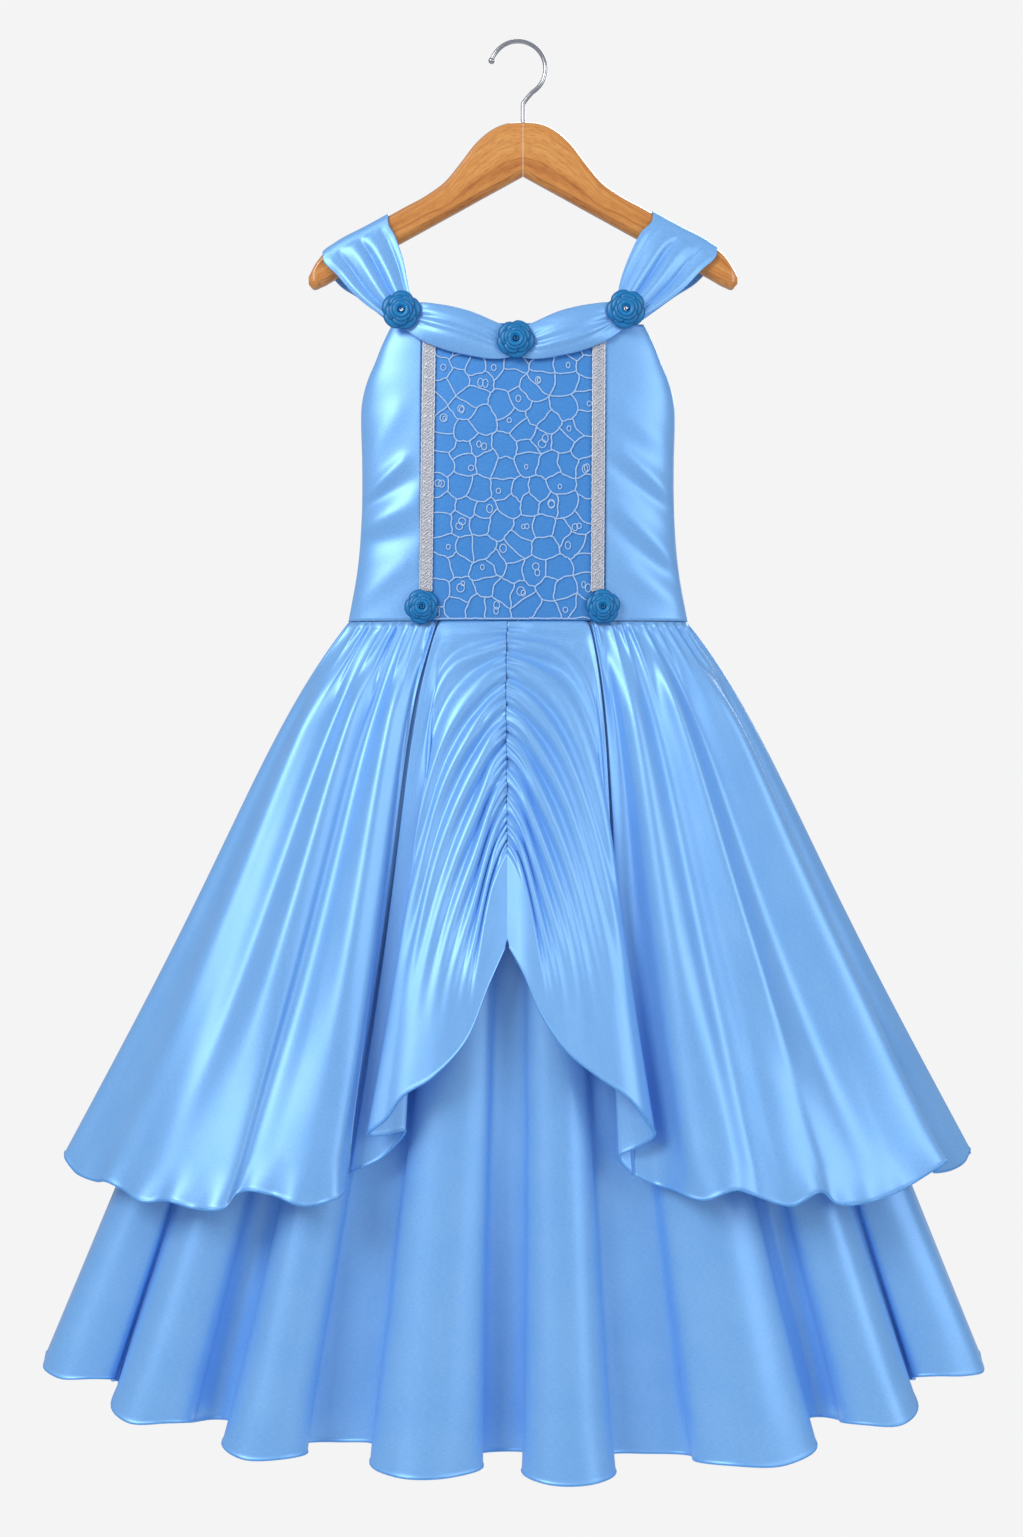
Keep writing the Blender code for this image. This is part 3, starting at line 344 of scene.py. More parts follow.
# Drawn wire is mirror-bright with fine lengthways die marks, which show as a slight streak
steel, tree, shader = new_material("drawn_bright_steel")
local = add(tree, "ShaderNodeTexCoord")
streak = add(tree, "ShaderNodeTexNoise", {"Vector": local.outputs["Object"], "Scale": 900.0, "Detail": 2.0})
gloss = add(tree, "ShaderNodeMapRange", {"Value": streak.outputs["Fac"], "To Min": 0.14, "To Max": 0.3})
tree.links.new(gloss.outputs[0], shader.inputs["Roughness"])
tone = add(tree, "ShaderNodeMix", {"Factor": streak.outputs["Fac"]}, data_type="RGBA")
tone.inputs[6].default_value = linear("#9c9ea2")
tone.inputs[7].default_value = linear("#c9cbce")
tree.links.new(tone.outputs[2], shader.inputs["Base Color"])
shader.inputs["Metallic"].default_value = 1.0
add_piece("steel_hook", hook_mesh, [steel], ["hanger_hook"], sharp=60)

# Bodice
# Five panels of polyester satin, cut to shape, seamed together and lined. The centre front is a
# deeper blue. The sides pull in soft slanting creases from the waist and the armholes.

WAIST_Z = -463.0
PANEL_TOP_Z = -227.0
SEAM_GAP = 0.3
CLOTH = 1.3
SQUARENESS = 2.6
FRONT_SEAMS = (-76.6, 68.6)
BodiceRing = namedtuple("BodiceRing", "height half_width front back gape")
BODICE_RINGS = [
    BodiceRing(-463.0, 135.0, 26.0, 20.0, 0.15),
    BodiceRing(-421.0, 127.6, 27.0, 20.0, 0.15),
    BodiceRing(-381.0, 124.4, 28.0, 19.0, 0.15),
    BodiceRing(-333.0, 124.0, 28.0, 18.0, 0.15),
    BodiceRing(-300.0, 124.8, 27.0, 17.0, 0.15),
    BodiceRing(-293.0, 124.6, 26.5, 16.5, 0.3),
    BodiceRing(-269.0, 118.8, 25.0, 16.0, 5.0),
    BodiceRing(-257.0, 113.4, 24.0, 15.5, 7.3),
    BodiceRing(-245.0, 108.6, 23.0, 15.0, 9.0),
    BodiceRing(-227.0, 100.0, 21.0, 14.0, 10.0),
]


def bodice_size(height, column):
    return eased(height, [(ring.height, getattr(ring, column)) for ring in BODICE_RINGS])


def bodice_depth(x, z, column):
    """How far forward or back of the hanger's plane the bodice stands at a place."""
    width = bodice_size(z, "half_width")
    gape = bodice_size(z, "gape")
    reach = np.clip(np.abs(x) / width, 0.0, 1.0)
    return gape + (bodice_size(z, column) - gape) * (1 - reach**SQUARENESS) ** (1 / SQUARENESS)


def outward(grid):
    """Unit normals of a grid of points."""
    normal = np.cross(np.gradient(grid, axis=1), np.gradient(grid, axis=0))
    return normal / np.maximum(np.linalg.norm(normal, axis=2, keepdims=True), 1e-9)


def satin(name, light, deep, sheen, threads=1.0):
    """Polyester satin: long warp floats that lie side by side, so light runs off it in soft bands
    and the folds keep their colour. The real threads are 0.1 mm, drawn here as 0.8 mm slubs."""
    material, tree, shader = new_material(name)
    laid = add(tree, "ShaderNodeUVMap", uv_map="laid_flat")
    warp = add(tree, "ShaderNodeMapping",
               {"Vector": laid.outputs[0], "Scale": (1250.0 / threads, 420.0 / threads, 1.0)})
    slub = add(tree, "ShaderNodeTexNoise", {"Vector": warp.outputs[0], "Scale": 1.0, "Detail": 3.0, "Roughness": 0.7})
    weft = add(tree, "ShaderNodeMapping",
               {"Vector": laid.outputs[0], "Scale": (260.0 / threads, 1400.0 / threads, 1.0)})
    cross = add(tree, "ShaderNodeTexNoise", {"Vector": weft.outputs[0], "Scale": 1.0, "Detail": 2.0})
    threads_mix = add(tree, "ShaderNodeMath", {0: slub.outputs["Fac"], 1: cross.outputs["Fac"]}, operation="ADD")
    lustre = add(tree, "ShaderNodeTexNoise", {"Vector": laid.outputs[0], "Scale": 26.0, "Detail": 2.0})
    fine = add(tree, "ShaderNodeMapRange",
               {"Value": threads_mix.outputs[0], "From Min": 0.7, "From Max": 1.3, "To Min": 0.0, "To Max": 0.75})
    broad = add(tree, "ShaderNodeMapRange",
                {"Value": lustre.outputs["Fac"], "From Min": 0.3, "From Max": 0.7, "To Min": 0.0, "To Max": 0.25})
    share = add(tree, "ShaderNodeMath", {0: fine.outputs[0], 1: broad.outputs[0]}, operation="ADD")
    colour = add(tree, "ShaderNodeMix", {"Factor": share.outputs[0]}, data_type="RGBA")
    colour.inputs[6].default_value = linear(deep)
    colour.inputs[7].default_value = linear(light)
    tree.links.new(colour.outputs[2], shader.inputs["Base Color"])
    rough = add(tree, "ShaderNodeMapRange",
                {"Value": threads_mix.outputs[0], "From Min": 0.7, "From Max": 1.3, "To Min": 0.33, "To Max": 0.43})
    tree.links.new(rough.outputs[0], shader.inputs["Roughness"])
    bump = add(tree, "ShaderNodeBump",
               {"Height": threads_mix.outputs[0], "Strength": 0.16, "Distance": 0.00025})
    tree.links.new(bump.outputs[0], shader.inputs["Normal"])
    shader.inputs["Metallic"].default_value = 0.28
    shader.inputs["Specular IOR Level"].default_value = 0.6
    shader.inputs["Sheen Weight"].default_value = sheen
    shader.inputs["Sheen Roughness"].default_value = 0.5
    shader.inputs["Sheen Tint"].default_value = linear("#bfe0ff")
    return material


pale_satin = satin("woven_pale_blue_satin", "#8cc4fa", "#72b2f2", 0.15)
deep_satin = satin("woven_deep_blue_satin", "#4d9ae2", "#3d8ad8", 0.05)


def sheet_of_cloth(name, points, cut, materials, node, wall=None, thick=CLOTH):
    """A closed sheet of cloth about a grid of points. wall is the share of its thickness that each
    point has; the faces where it is full are the stitched hem, and take the second material."""
    mesh, row, column = laid_grid(points, cut)
    if wall is not None:
        share = wall[row, column]
        corners = np.empty(len(mesh.loops), np.int32)
        mesh.loops.foreach_get("vertex_index", corners)
        full = (share[corners].reshape(-1, 4) > 0.7).all(axis=1)
        mesh.polygons.foreach_set("material_index", full.astype(np.int32))
    piece = add_piece(name, mesh, materials, [node])
    solid = piece.modifiers.new("wall", "SOLIDIFY")
    solid.thickness = thick * MM
    solid.offset = 0.0
    if wall is not None:
        group = piece.vertex_groups.new(name="wall")
        for value in np.unique(np.round(share, 3)):
            group.add(np.flatnonzero(np.round(share, 3) == value).tolist(), float(value), "REPLACE")
        solid.vertex_group = "wall"
    return piece


Crease = namedtuple("Crease", "x1 z1 x2 z2 width depth")
SIDE_CREASES = [
    Crease(-124.0, -366.0, -92.0, -338.0, 5.0, 2.4),
    Crease(-122.0, -372.0, -86.0, -352.0, 7.0, -2.2),
    Crease(-124.0, -388.0, -84.0, -372.0, 8.0, 2.2),
    Crease(-122.0, -402.0, -84.0, -394.0, 9.0, -1.8),
    Crease(-118.0, -330.0, -98.0, -300.0, 10.0, 1.2),
    Crease(-126.0, -444.0, -92.0, -420.0, 9.0, 1.4),
    Crease(82.0, -330.0, 120.0, -360.0, 7.0, 2.4),
    Crease(80.0, -344.0, 120.0, -376.0, 7.0, -2.0),
    Crease(78.0, -374.0, 120.0, -410.0, 8.0, 2.4),
    Crease(78.0, -390.0, 120.0, -428.0, 8.0, -1.8),
    Crease(84.0, -300.0, 112.0, -318.0, 10.0, 1.2),
    Crease(88.0, -424.0, 126.0, -446.0, 9.0, 1.4),
]
BACK_CREASES = [
    Crease(-122.0, -380.0, -60.0, -352.0, 9.0, 2.0),
    Crease(-118.0, -402.0, -50.0, -386.0, 10.0, -1.6),
    Crease(56.0, -350.0, 120.0, -384.0, 9.0, 2.0),
    Crease(50.0, -384.0, 118.0, -404.0, 10.0, -1.6),
    Crease(-90.0, -262.0, -40.0, -276.0, 12.0, 1.6),
    Crease(40.0, -276.0, 90.0, -262.0, 12.0, 1.6),
]


def pulled(grid, creases, facing):
    """Moves a panel's points out along soft creases, each a ridge or, where its depth is less
    than 0, a trough. It fades at both ends of its line."""
    x, z = grid[..., 0], grid[..., 2]
    total = np.zeros_like(x)
    for crease in creases:
        run = np.array((crease.x2 - crease.x1, crease.z2 - crease.z1))
        length = np.linalg.norm(run)
        run = run / length
        along = (x - crease.x1) * run[0] + (z - crease.z1) * run[1]
        aside = (z - crease.z1) * run[0] - (x - crease.x1) * run[1]
        over = np.clip(np.maximum(-along, along - length), 0.0, None)
        total += crease.depth * np.exp(-((aside / crease.width) ** 2) - (over / (1.6 * crease.width)) ** 2)
    out = grid.copy()
    out[..., 1] += facing * total
    return out


half_gap = SEAM_GAP / 2
left_seam, right_seam = FRONT_SEAMS
BodicePanel = namedtuple("BodicePanel", "node start end column cut columns")
BODICE_PANELS = [
    BodicePanel("bodice_centre_front", left_seam + half_gap, right_seam - half_gap, "front", (0.147, 0.237), 60),
    BodicePanel("bodice_side_front_left", left_seam - half_gap, None, "front", (0.072, 0.237), 48),
    BodicePanel("bodice_side_front_right", right_seam + half_gap, None, "front", (0.078, 0.237), 48),
    BodicePanel("bodice_back_left", -half_gap, None, "back", (0.14, 0.237), 64),
    BodicePanel("bodice_back_right", half_gap, None, "back", (0.14, 0.237), 64),
]
for panel in BODICE_PANELS:
    facing = -1 if panel.column == "front" else 1
    grid = []
    for z in np.linspace(PANEL_TOP_Z, WAIST_Z + half_gap, 97):
        edge = math.copysign(float(bodice_size(z, "half_width")), panel.start)
        share = np.linspace(0.0, 1.0, panel.columns + 1)
        if panel.end is None:
            share = np.sin(share * math.pi / 2)
        stop = edge if panel.end is None else panel.end
        x = panel.start + (stop - panel.start) * share
        grid.append(np.stack([x, facing * bodice_depth(x, z, panel.column), np.full_like(x, z)], axis=1))
    grid = np.array(grid)
    calm = grid.copy()
    grid = pulled(grid, SIDE_CREASES if panel.column == "front" else BACK_CREASES, facing)
    if panel.node == "bodice_centre_front":
        grid = calm
    else:
        fade = np.sin(np.linspace(0.0, math.pi, panel.columns + 1)) ** 0.5
        grid = calm + (grid - calm) * np.clip(fade, 0.0, 1.0)[None, :, None]
    cloth = deep_satin if panel.node == "bodice_centre_front" else pale_satin
    piece = sheet_of_cloth("satin_" + panel.node, grid, panel.cut, [cloth], panel.node)

# Corded lace
# A net of polyester cord, couched on water-soluble film, laid over the satin of the centre front.
# Small glass beads are sewn where cords meet. Its gaps are open to the satin.

LACE_CORD = 0.62
LACE_PITCH = 16.6
LACE_JITTER = 0.36
LACE_SEED = 11
LACE_LEFT, LACE_RIGHT = -69.6, 62.4
LACE_TOP_Z = -236.0
LACE_LOW_Z = WAIST_Z + 1.0
SHORTEST_CORD = 3.2
LACE_STAND = 1.35


def on_bodice_front(x, z, stand_off):
    """A point of the bodice's front moved out by stand_off from its middle surface."""
    return np.stack([x, -bodice_depth(x, z, "front") - stand_off, z], axis=-1)


def lace_sites(pitch, jitter, seed):
    """Cell centres on a jittered brick grid."""
    chance = np.random.RandomState(seed)
    across = round((LACE_RIGHT - LACE_LEFT) / pitch)
    down = round((LACE_TOP_Z - LACE_LOW_Z) / pitch)
    width, height = (LACE_RIGHT - LACE_LEFT) / across, (LACE_TOP_Z - LACE_LOW_Z) / down
    sites = []
    for row in range(down):
        for column in range(across):
            shift_x, shift_z = chance.uniform(-jitter, jitter, 2)
            brick = 0.25 if row % 2 else -0.25
            x = LACE_LEFT + width * (column + 0.5 + shift_x + brick * 0.6)
            sites.append((x, LACE_LOW_Z + height * (row + 0.5 + shift_z)))
    return sites


def lace_net(sites):
    """A flat net whose cords run midway between neighbouring sites, closed at the panel's edges."""
    mirrored = [(2 * edge - x, z) for edge in (LACE_LEFT, LACE_RIGHT) for x, z in sites]
    mirrored += [(x, 2 * edge - z) for edge in (LACE_LOW_Z, LACE_TOP_Z) for x, z in sites]
    points, _, triangles, *_ = delaunay_2d_cdt([Vector(p) for p in sites + mirrored], [], [], 0, 1e-6)
    around = [[] for _ in points]
    for triangle in triangles:
        a, b, c = (points[i] for i in triangle)
        twice = 2 * ((b - a).cross(c - a))
        if abs(twice) < 1e-9:
            continue
        ab, ac = b - a, c - a
        centre = a + Vector((ac.y * ab.length_squared - ab.y * ac.length_squared,
                             ab.x * ac.length_squared - ac.x * ab.length_squared)) / twice
        for corner in triangle:
            around[corner].append(centre)
    net = bmesh.new()
    for site, corners in list(zip(points, around))[: len(sites)]:
        corners.sort(key=lambda corner: math.atan2(corner.y - site.y, corner.x - site.x))
        net.faces.new([net.verts.new((corner.x, corner.y, 0.0)) for corner in corners])
    bmesh.ops.remove_doubles(net, verts=net.verts, dist=SHORTEST_CORD)
    return net


def add_tube(target, rings, cut=(0.002, 0.01)):
    """Adds a closed tube's mesh to a bmesh."""
    tube = closed_tube(rings, cut)
    mesh = bpy.data.meshes.new("tube")
    tube.to_mesh(mesh)
    tube.free()
    target.from_mesh(mesh)
    bpy.data.meshes.remove(mesh)


def add_bead(target, place, radius):
    """Adds a small round bead to a bmesh, at a place in millimetres."""
    made = bmesh.ops.create_icosphere(target, subdivisions=1, radius=radius * MM)
    bmesh.ops.translate(target, verts=made["verts"], vec=Vector(place) * MM)


chance = np.random.RandomState(5)
lace = bmesh.new()
lace.loops.layers.uv.new("laid_flat")
net = lace_net(lace_sites(LACE_PITCH, LACE_JITTER, LACE_SEED))
cords = [(np.array(edge.verts[0].co)[:2], np.array(edge.verts[1].co)[:2]) for edge in net.edges]
corners = [np.array(vertex.co)[:2] for vertex in net.verts]
cells = [np.array(face.calc_center_median())[:2] for face in net.faces]
net.free()
inside_low, inside_high = np.array((LACE_LEFT, LACE_LOW_Z)), np.array((LACE_RIGHT, LACE_TOP_Z))
for first, last in cords:
    length = np.linalg.norm(last - first)
    share = np.linspace(0.0, 1.0, 9)
    aside = np.array((first[1] - last[1], last[0] - first[0])) / length
    bow_out = chance.uniform(-0.14, 0.14) * length * np.sin(math.pi * share)
    bow_out = bow_out + chance.uniform(-0.04, 0.04) * length * np.sin(3 * math.pi * share)
    path = first + (last - first) * share[:, None] + aside * bow_out[:, None]
    path = np.clip(path, inside_low + LACE_CORD, inside_high - LACE_CORD)
    placed = on_bodice_front(path[:, 0], path[:, 1], LACE_STAND)
    add_tube(lace, tube_along(placed, LACE_CORD, (0.0, 1.0, 0.0), 6))
    for spot in np.arange(2.5, length - 2.0, chance.uniform(3.2, 5.5)):
        middle = np.array([np.interp(spot / length, share, part) for part in placed.T])
        add_bead(lace, middle + (0.0, -0.35, 0.0), chance.uniform(0.55, 0.8))
for corner in corners:
    place = np.clip(corner, inside_low + 1.2, inside_high - 1.2)
    add_bead(lace, on_bodice_front(place[0], place[1], LACE_STAND + 0.2), 1.05)
for number, cell in enumerate(cells):
    if number % 3:
        continue
    count = chance.randint(1, 3)
    for _ in range(count):
        centre = cell + chance.uniform(-3.0, 3.0, 2)
        reach = chance.uniform(1.8, 3.4)
        tilt = chance.uniform(0.6, 1.0)
        turns = np.linspace(0.0, 2 * math.pi, 15)
        loop = centre + np.stack([np.cos(turns) * reach * tilt, np.sin(turns) * reach], axis=1)
        loop = np.clip(loop, inside_low + 1.0, inside_high - 1.0)
        placed = on_bodice_front(loop[:, 0], loop[:, 1], LACE_STAND)
        add_tube(lace, tube_along(placed, LACE_CORD * 0.8, (0.0, 1.0, 0.0), 6))
lace_mesh = bpy.data.meshes.new("lace")
lace.to_mesh(lace_mesh)
lace.free()

# Couched cord is a soft two-ply twist, pale blue with a silky highlight and silver flecks
corded, tree, shader = new_material("couched_polyester_cord")
local = add(tree, "ShaderNodeTexCoord")
ply = add(tree, "ShaderNodeTexNoise", {"Vector": local.outputs["Object"], "Scale": 1400.0, "Detail": 1.0})
tone = add(tree, "ShaderNodeMix", {"Factor": ply.outputs["Fac"]}, data_type="RGBA")
tone.inputs[6].default_value = linear("#7fb6ea")
tone.inputs[7].default_value = linear("#cfe6fa")
tree.links.new(tone.outputs[2], shader.inputs["Base Color"])
bump = add(tree, "ShaderNodeBump", {"Height": ply.outputs["Fac"], "Strength": 0.3, "Distance": 0.0002})
tree.links.new(bump.outputs[0], shader.inputs["Normal"])
shader.inputs["Roughness"].default_value = 0.4
lace_piece = add_piece("lace_cords", lace_mesh, [corded], ["lace_overlay"])

# Silver braids
# A narrow woven edging of silver metallic yarn over each side of the lace: two edge cords, and
# between them zigzag yarns that cross in diamonds with a pearl in each.

BRAID_WIDTH = 10.4
BRAID_TOP_Z, BRAID_FOOT_Z = -238.0, -440.0
BRAID_STAND = 2.7
DIAMOND = 5.2
Braid = namedtuple("Braid", "node top_x foot_x")

# Metallic yarn is a flat foil wound on thread, so it glitters in small broken flecks
foil, tree, shader = new_material("wound_silver_yarn")
local = add(tree, "ShaderNodeTexCoord")
wound = add(tree, "ShaderNodeTexNoise", {"Vector": local.outputs["Object"], "Scale": 1600.0, "Detail": 2.0})
tone = add(tree, "ShaderNodeMix", {"Factor": wound.outputs["Fac"]}, data_type="RGBA")
tone.inputs[6].default_value = linear("#a9adb8")
tone.inputs[7].default_value = linear("#f4f4f6")
tree.links.new(tone.outputs[2], shader.inputs["Base Color"])
bump = add(tree, "ShaderNodeBump", {"Height": wound.outputs["Fac"], "Strength": 0.5, "Distance": 0.0002})
tree.links.new(bump.outputs[0], shader.inputs["Normal"])
shader.inputs["Roughness"].default_value = 0.36
shader.inputs["Metallic"].default_value = 0.35

backing, tree, shader = new_material("woven_silver_ground")
local = add(tree, "ShaderNodeTexCoord")
mesh_net = add(tree, "ShaderNodeTexVoronoi", {"Vector": local.outputs["Object"], "Scale": 620.0})
tone = add(tree, "ShaderNodeMix", {"Factor": mesh_net.outputs["Distance"]}, data_type="RGBA")
tone.inputs[6].default_value = linear("#e8e9ee")
tone.inputs[7].default_value = linear("#8f97a8")
tree.links.new(tone.outputs[2], shader.inputs["Base Color"])
shader.inputs["Roughness"].default_value = 0.5
shader.inputs["Metallic"].default_value = 0.2

for braid in (Braid("braid_left", -70.3, -73.0), Braid("braid_right", 64.2, 62.8)):
    trim = bmesh.new()
    trim.loops.layers.uv.new("laid_flat")
    count = int(round((BRAID_TOP_Z - BRAID_FOOT_Z) / DIAMOND))
    down = np.linspace(0.0, 1.0, count * 6 + 1)
    z = BRAID_TOP_Z + (BRAID_FOOT_Z - BRAID_TOP_Z) * down
    middle = braid.top_x + (braid.foot_x - braid.top_x) * down
    reach = BRAID_WIDTH / 2 - 0.6
    for side in (-1, 1):
        scallop = 0.35 * np.abs(np.sin(math.pi * down * count))
        edge = on_bodice_front(middle + side * (reach + scallop - 0.1), z, BRAID_STAND)
        add_tube(trim, tube_along(edge, 0.55, (0.0, 1.0, 0.0), 6))
        for lag in (0.0, 0.5):
            wave = np.arcsin(np.cos(2 * math.pi * (down * count / 2 + lag * 0.5))) * 2 / math.pi
            lift = 0.35 * side * np.cos(2 * math.pi * down * count)
            yarn = on_bodice_front(middle + side * wave * (reach - 0.4), z, BRAID_STAND + lift)
            add_tube(trim, tube_along(yarn, 0.5, (0.0, 1.0, 0.0), 6))
    for number in range(count):
        share = (number + 0.5) / count
        for offset in (-0.52, 0.0, 0.52):
            shift = 0.0 if offset else 0.5 / count
            spot_z = BRAID_TOP_Z + (BRAID_FOOT_Z - BRAID_TOP_Z) * min(share + shift, 0.995)
            spot_x = braid.top_x + (braid.foot_x - braid.top_x) * share + offset * reach
            add_bead(trim, on_bodice_front(spot_x, spot_z, BRAID_STAND + 0.35), 0.85)
    trim_mesh = bpy.data.meshes.new("trim")
    trim.to_mesh(trim_mesh)
    trim.free()
    add_piece("silver_" + braid.node, trim_mesh, [foil], [braid.node])
    down = np.linspace(0.0, 1.0, 61)
    z = BRAID_TOP_Z + (BRAID_FOOT_Z - BRAID_TOP_Z) * down
    middle = braid.top_x + (braid.foot_x - braid.top_x) * down
    band = np.stack([on_bodice_front(middle + side * reach, z, BRAID_STAND - 0.35)
                     for side in np.linspace(-1, 1, 7)], axis=1)
    ground_piece = sheet_of_cloth("silver_ground_" + braid.node, band, (0.0104, 0.202), [backing],
                                  braid.node, thick=0.4)

# Neckline drape
# One bias band of the pale satin, folded lengthways and pinched under the three neck roses.
# Between them it swells in two soft lobes, and the creases run together at each pinch.

DrapeStation = namedtuple("DrapeStation", "share top bottom puff")
FRONT_DRAPE = [
    DrapeStation(0.0, -233.0, -254.0, 0.0),
    DrapeStation(0.16, -227.5, -256.0, 2.5),
    DrapeStation(0.4, -218.5, -253.5, 6.0),
    DrapeStation(0.7, -212.5, -246.5, 5.5),
    DrapeStation(0.9, -211.0, -238.0, 1.4),
    DrapeStation(1.0, -212.5, -231.5, 0.5),
]
BACK_DRAPE = [
    DrapeStation(0.0, -231.0, -255.0, 2.0),
    DrapeStation(0.5, -229.0, -254.0, 3.0),
    DrapeStation(0.85, -221.0, -243.0, 1.5),
    DrapeStation(1.0, -214.5, -232.5, 0.5),
]
NeckBand = namedtuple("NeckBand", "node stations left middle right column stand columns cut")
NECK_BANDS = [
    NeckBand("neck_drape_front", FRONT_DRAPE, -90.0, -2.0, 83.5, "front", 4.4, 180, (0.185, 0.036)),
    NeckBand("neck_drape_back", BACK_DRAPE, -94.0, 0.0, 94.0, "back", 2.0, 130, (0.19, 0.028)),
]


def lobe(value, middle, width):
    return np.exp(-(((value - middle) / width) ** 2))


for band in NECK_BANDS:
    facing = -1 if band.column == "front" else 1
    across = np.linspace(-1.0, 1.0, band.columns + 1)
    share = np.abs(across)
    end = np.where(across < 0, band.left, band.right)
    x = band.middle + (end - band.middle) * share
    top, bottom, puff = (
        eased(share, [(s.share, getattr(s, part)) for s in band.stations]) for part in ("top", "bottom", "puff")
    )
    pinch = lobe(share, 1.0, 0.16) + lobe(share, 0.0, 0.2) * (band.column == "front")
    rows = []
    for down in np.linspace(0.0, 1.0, 45):
        z = top + (bottom - top) * down
        wall = bodice_depth(x, np.minimum(z, PANEL_TOP_Z), band.column)
        swell = puff * math.sin(math.pi * down) ** 0.7
        groove = 0.46 + 0.12 * np.sin(3.0 * across + 0.6)
        fold = -2.6 * lobe(down, groove, 0.05 + 0.06 * share * (1 - share) * 4) * (0.45 + 0.55 * pinch)
        fold = fold - 1.6 * lobe(down, groove + 0.24 - 0.1 * pinch, 0.07) * (0.25 + 0.75 * pinch)
        fold = fold - 1.4 * lobe(down, groove - 0.25 + 0.1 * pinch, 0.06) * (0.2 + 0.8 * pinch)
        fold = fold + 1.0 * lobe(down, groove + 0.12, 0.08) * (1 - pinch)
        fold = fold * math.sin(math.pi * down) ** 0.5 * np.clip(puff / 2.5 + 0.2, 0.0, 1.0)
        rows.append(np.stack([x, facing * (wall + band.stand + swell + fold), z], axis=1))
    piece = sheet_of_cloth("satin_" + band.node, np.array(rows), band.cut, [pale_satin], band.node)

# Straps
# The neckline band runs on over the hanger as two wide off-the-shoulder straps. Each is a tube of
# pale satin folded flat, laid in soft pleats that run together under its rose.

StrapStation = namedtuple("StrapStation", "inner_x inner_z outer_x outer_z depth fold")
Strap = namedtuple("Strap", "node inner outer front back")
STRAPS = [
    Strap(
        "strap_left", -103.5, -155.5,
        [
            StrapStation(-85.0, -206.5, -104.0, -223.5, -23.8, 0.0),
            StrapStation(-87.5, -194.0, -116.0, -215.5, -20.5, 1.8),
            StrapStation(-91.0, -176.0, -130.0, -203.5, -16.5, 2.4),
            StrapStation(-97.5, -157.0, -143.0, -188.5, -12.5, 1.4),
        ],
        [
            StrapStation(-97.0, -158.0, -143.0, -192.0, 12.5, 0.6),
            StrapStation(-93.0, -178.0, -128.0, -201.5, 15.5, 0.8),
            StrapStation(-88.0, -203.0, -105.0, -219.5, 18.5, 0.0),
        ],
    ),
    Strap(
        "strap_right", 107.5, 158.5,
        [
            StrapStation(78.5, -206.5, 97.0, -222.5, -23.8, 0.0),
            StrapStation(81.0, -194.0, 111.0, -214.5, -20.5, 1.8),
            StrapStation(87.0, -176.0, 128.5, -201.5, -16.5, 2.4),
            StrapStation(97.5, -154.0, 145.0, -184.5, -12.5, 1.4),
        ],
        [
            StrapStation(97.0, -155.0, 145.0, -188.0, 12.5, 0.6),
            StrapStation(91.0, -178.0, 126.5, -200.0, 15.5, 0.8),
            StrapStation(84.0, -203.0, 100.5, -218.5, 18.5, 0.0),
        ],
    ),
]
ARM_CLEAR = 1.6
STRAP_COLUMNS = 70
STRAP_CUT = (0.062, 0.16)


def smooth_rows(rows, count):
    """More rows along a strap, on smooth curves through the ones given."""
    rows = np.array(rows)
    steps = np.linalg.norm(np.diff(rows[:, rows.shape[1] // 2], axis=0), axis=1)
    knots = np.concatenate([[0.0], np.cumsum(steps)])
    slopes = np.gradient(rows, knots, axis=0)
    place = np.linspace(0.0, knots[-1], count)
    index = np.clip(np.searchsorted(knots, place, side="right") - 1, 0, len(rows) - 2)
    span = (knots[index + 1] - knots[index])[:, None, None]
    u = ((place - knots[index])[:, None, None]) / span
    return (
        (2 * u**3 - 3 * u**2 + 1) * rows[index]
        + (u**3 - 2 * u**2 + u) * span * slopes[index]
        + (3 * u**2 - 2 * u**3) * rows[index + 1]
        + (u**3 - u**2) * span * slopes[index + 1]
    )


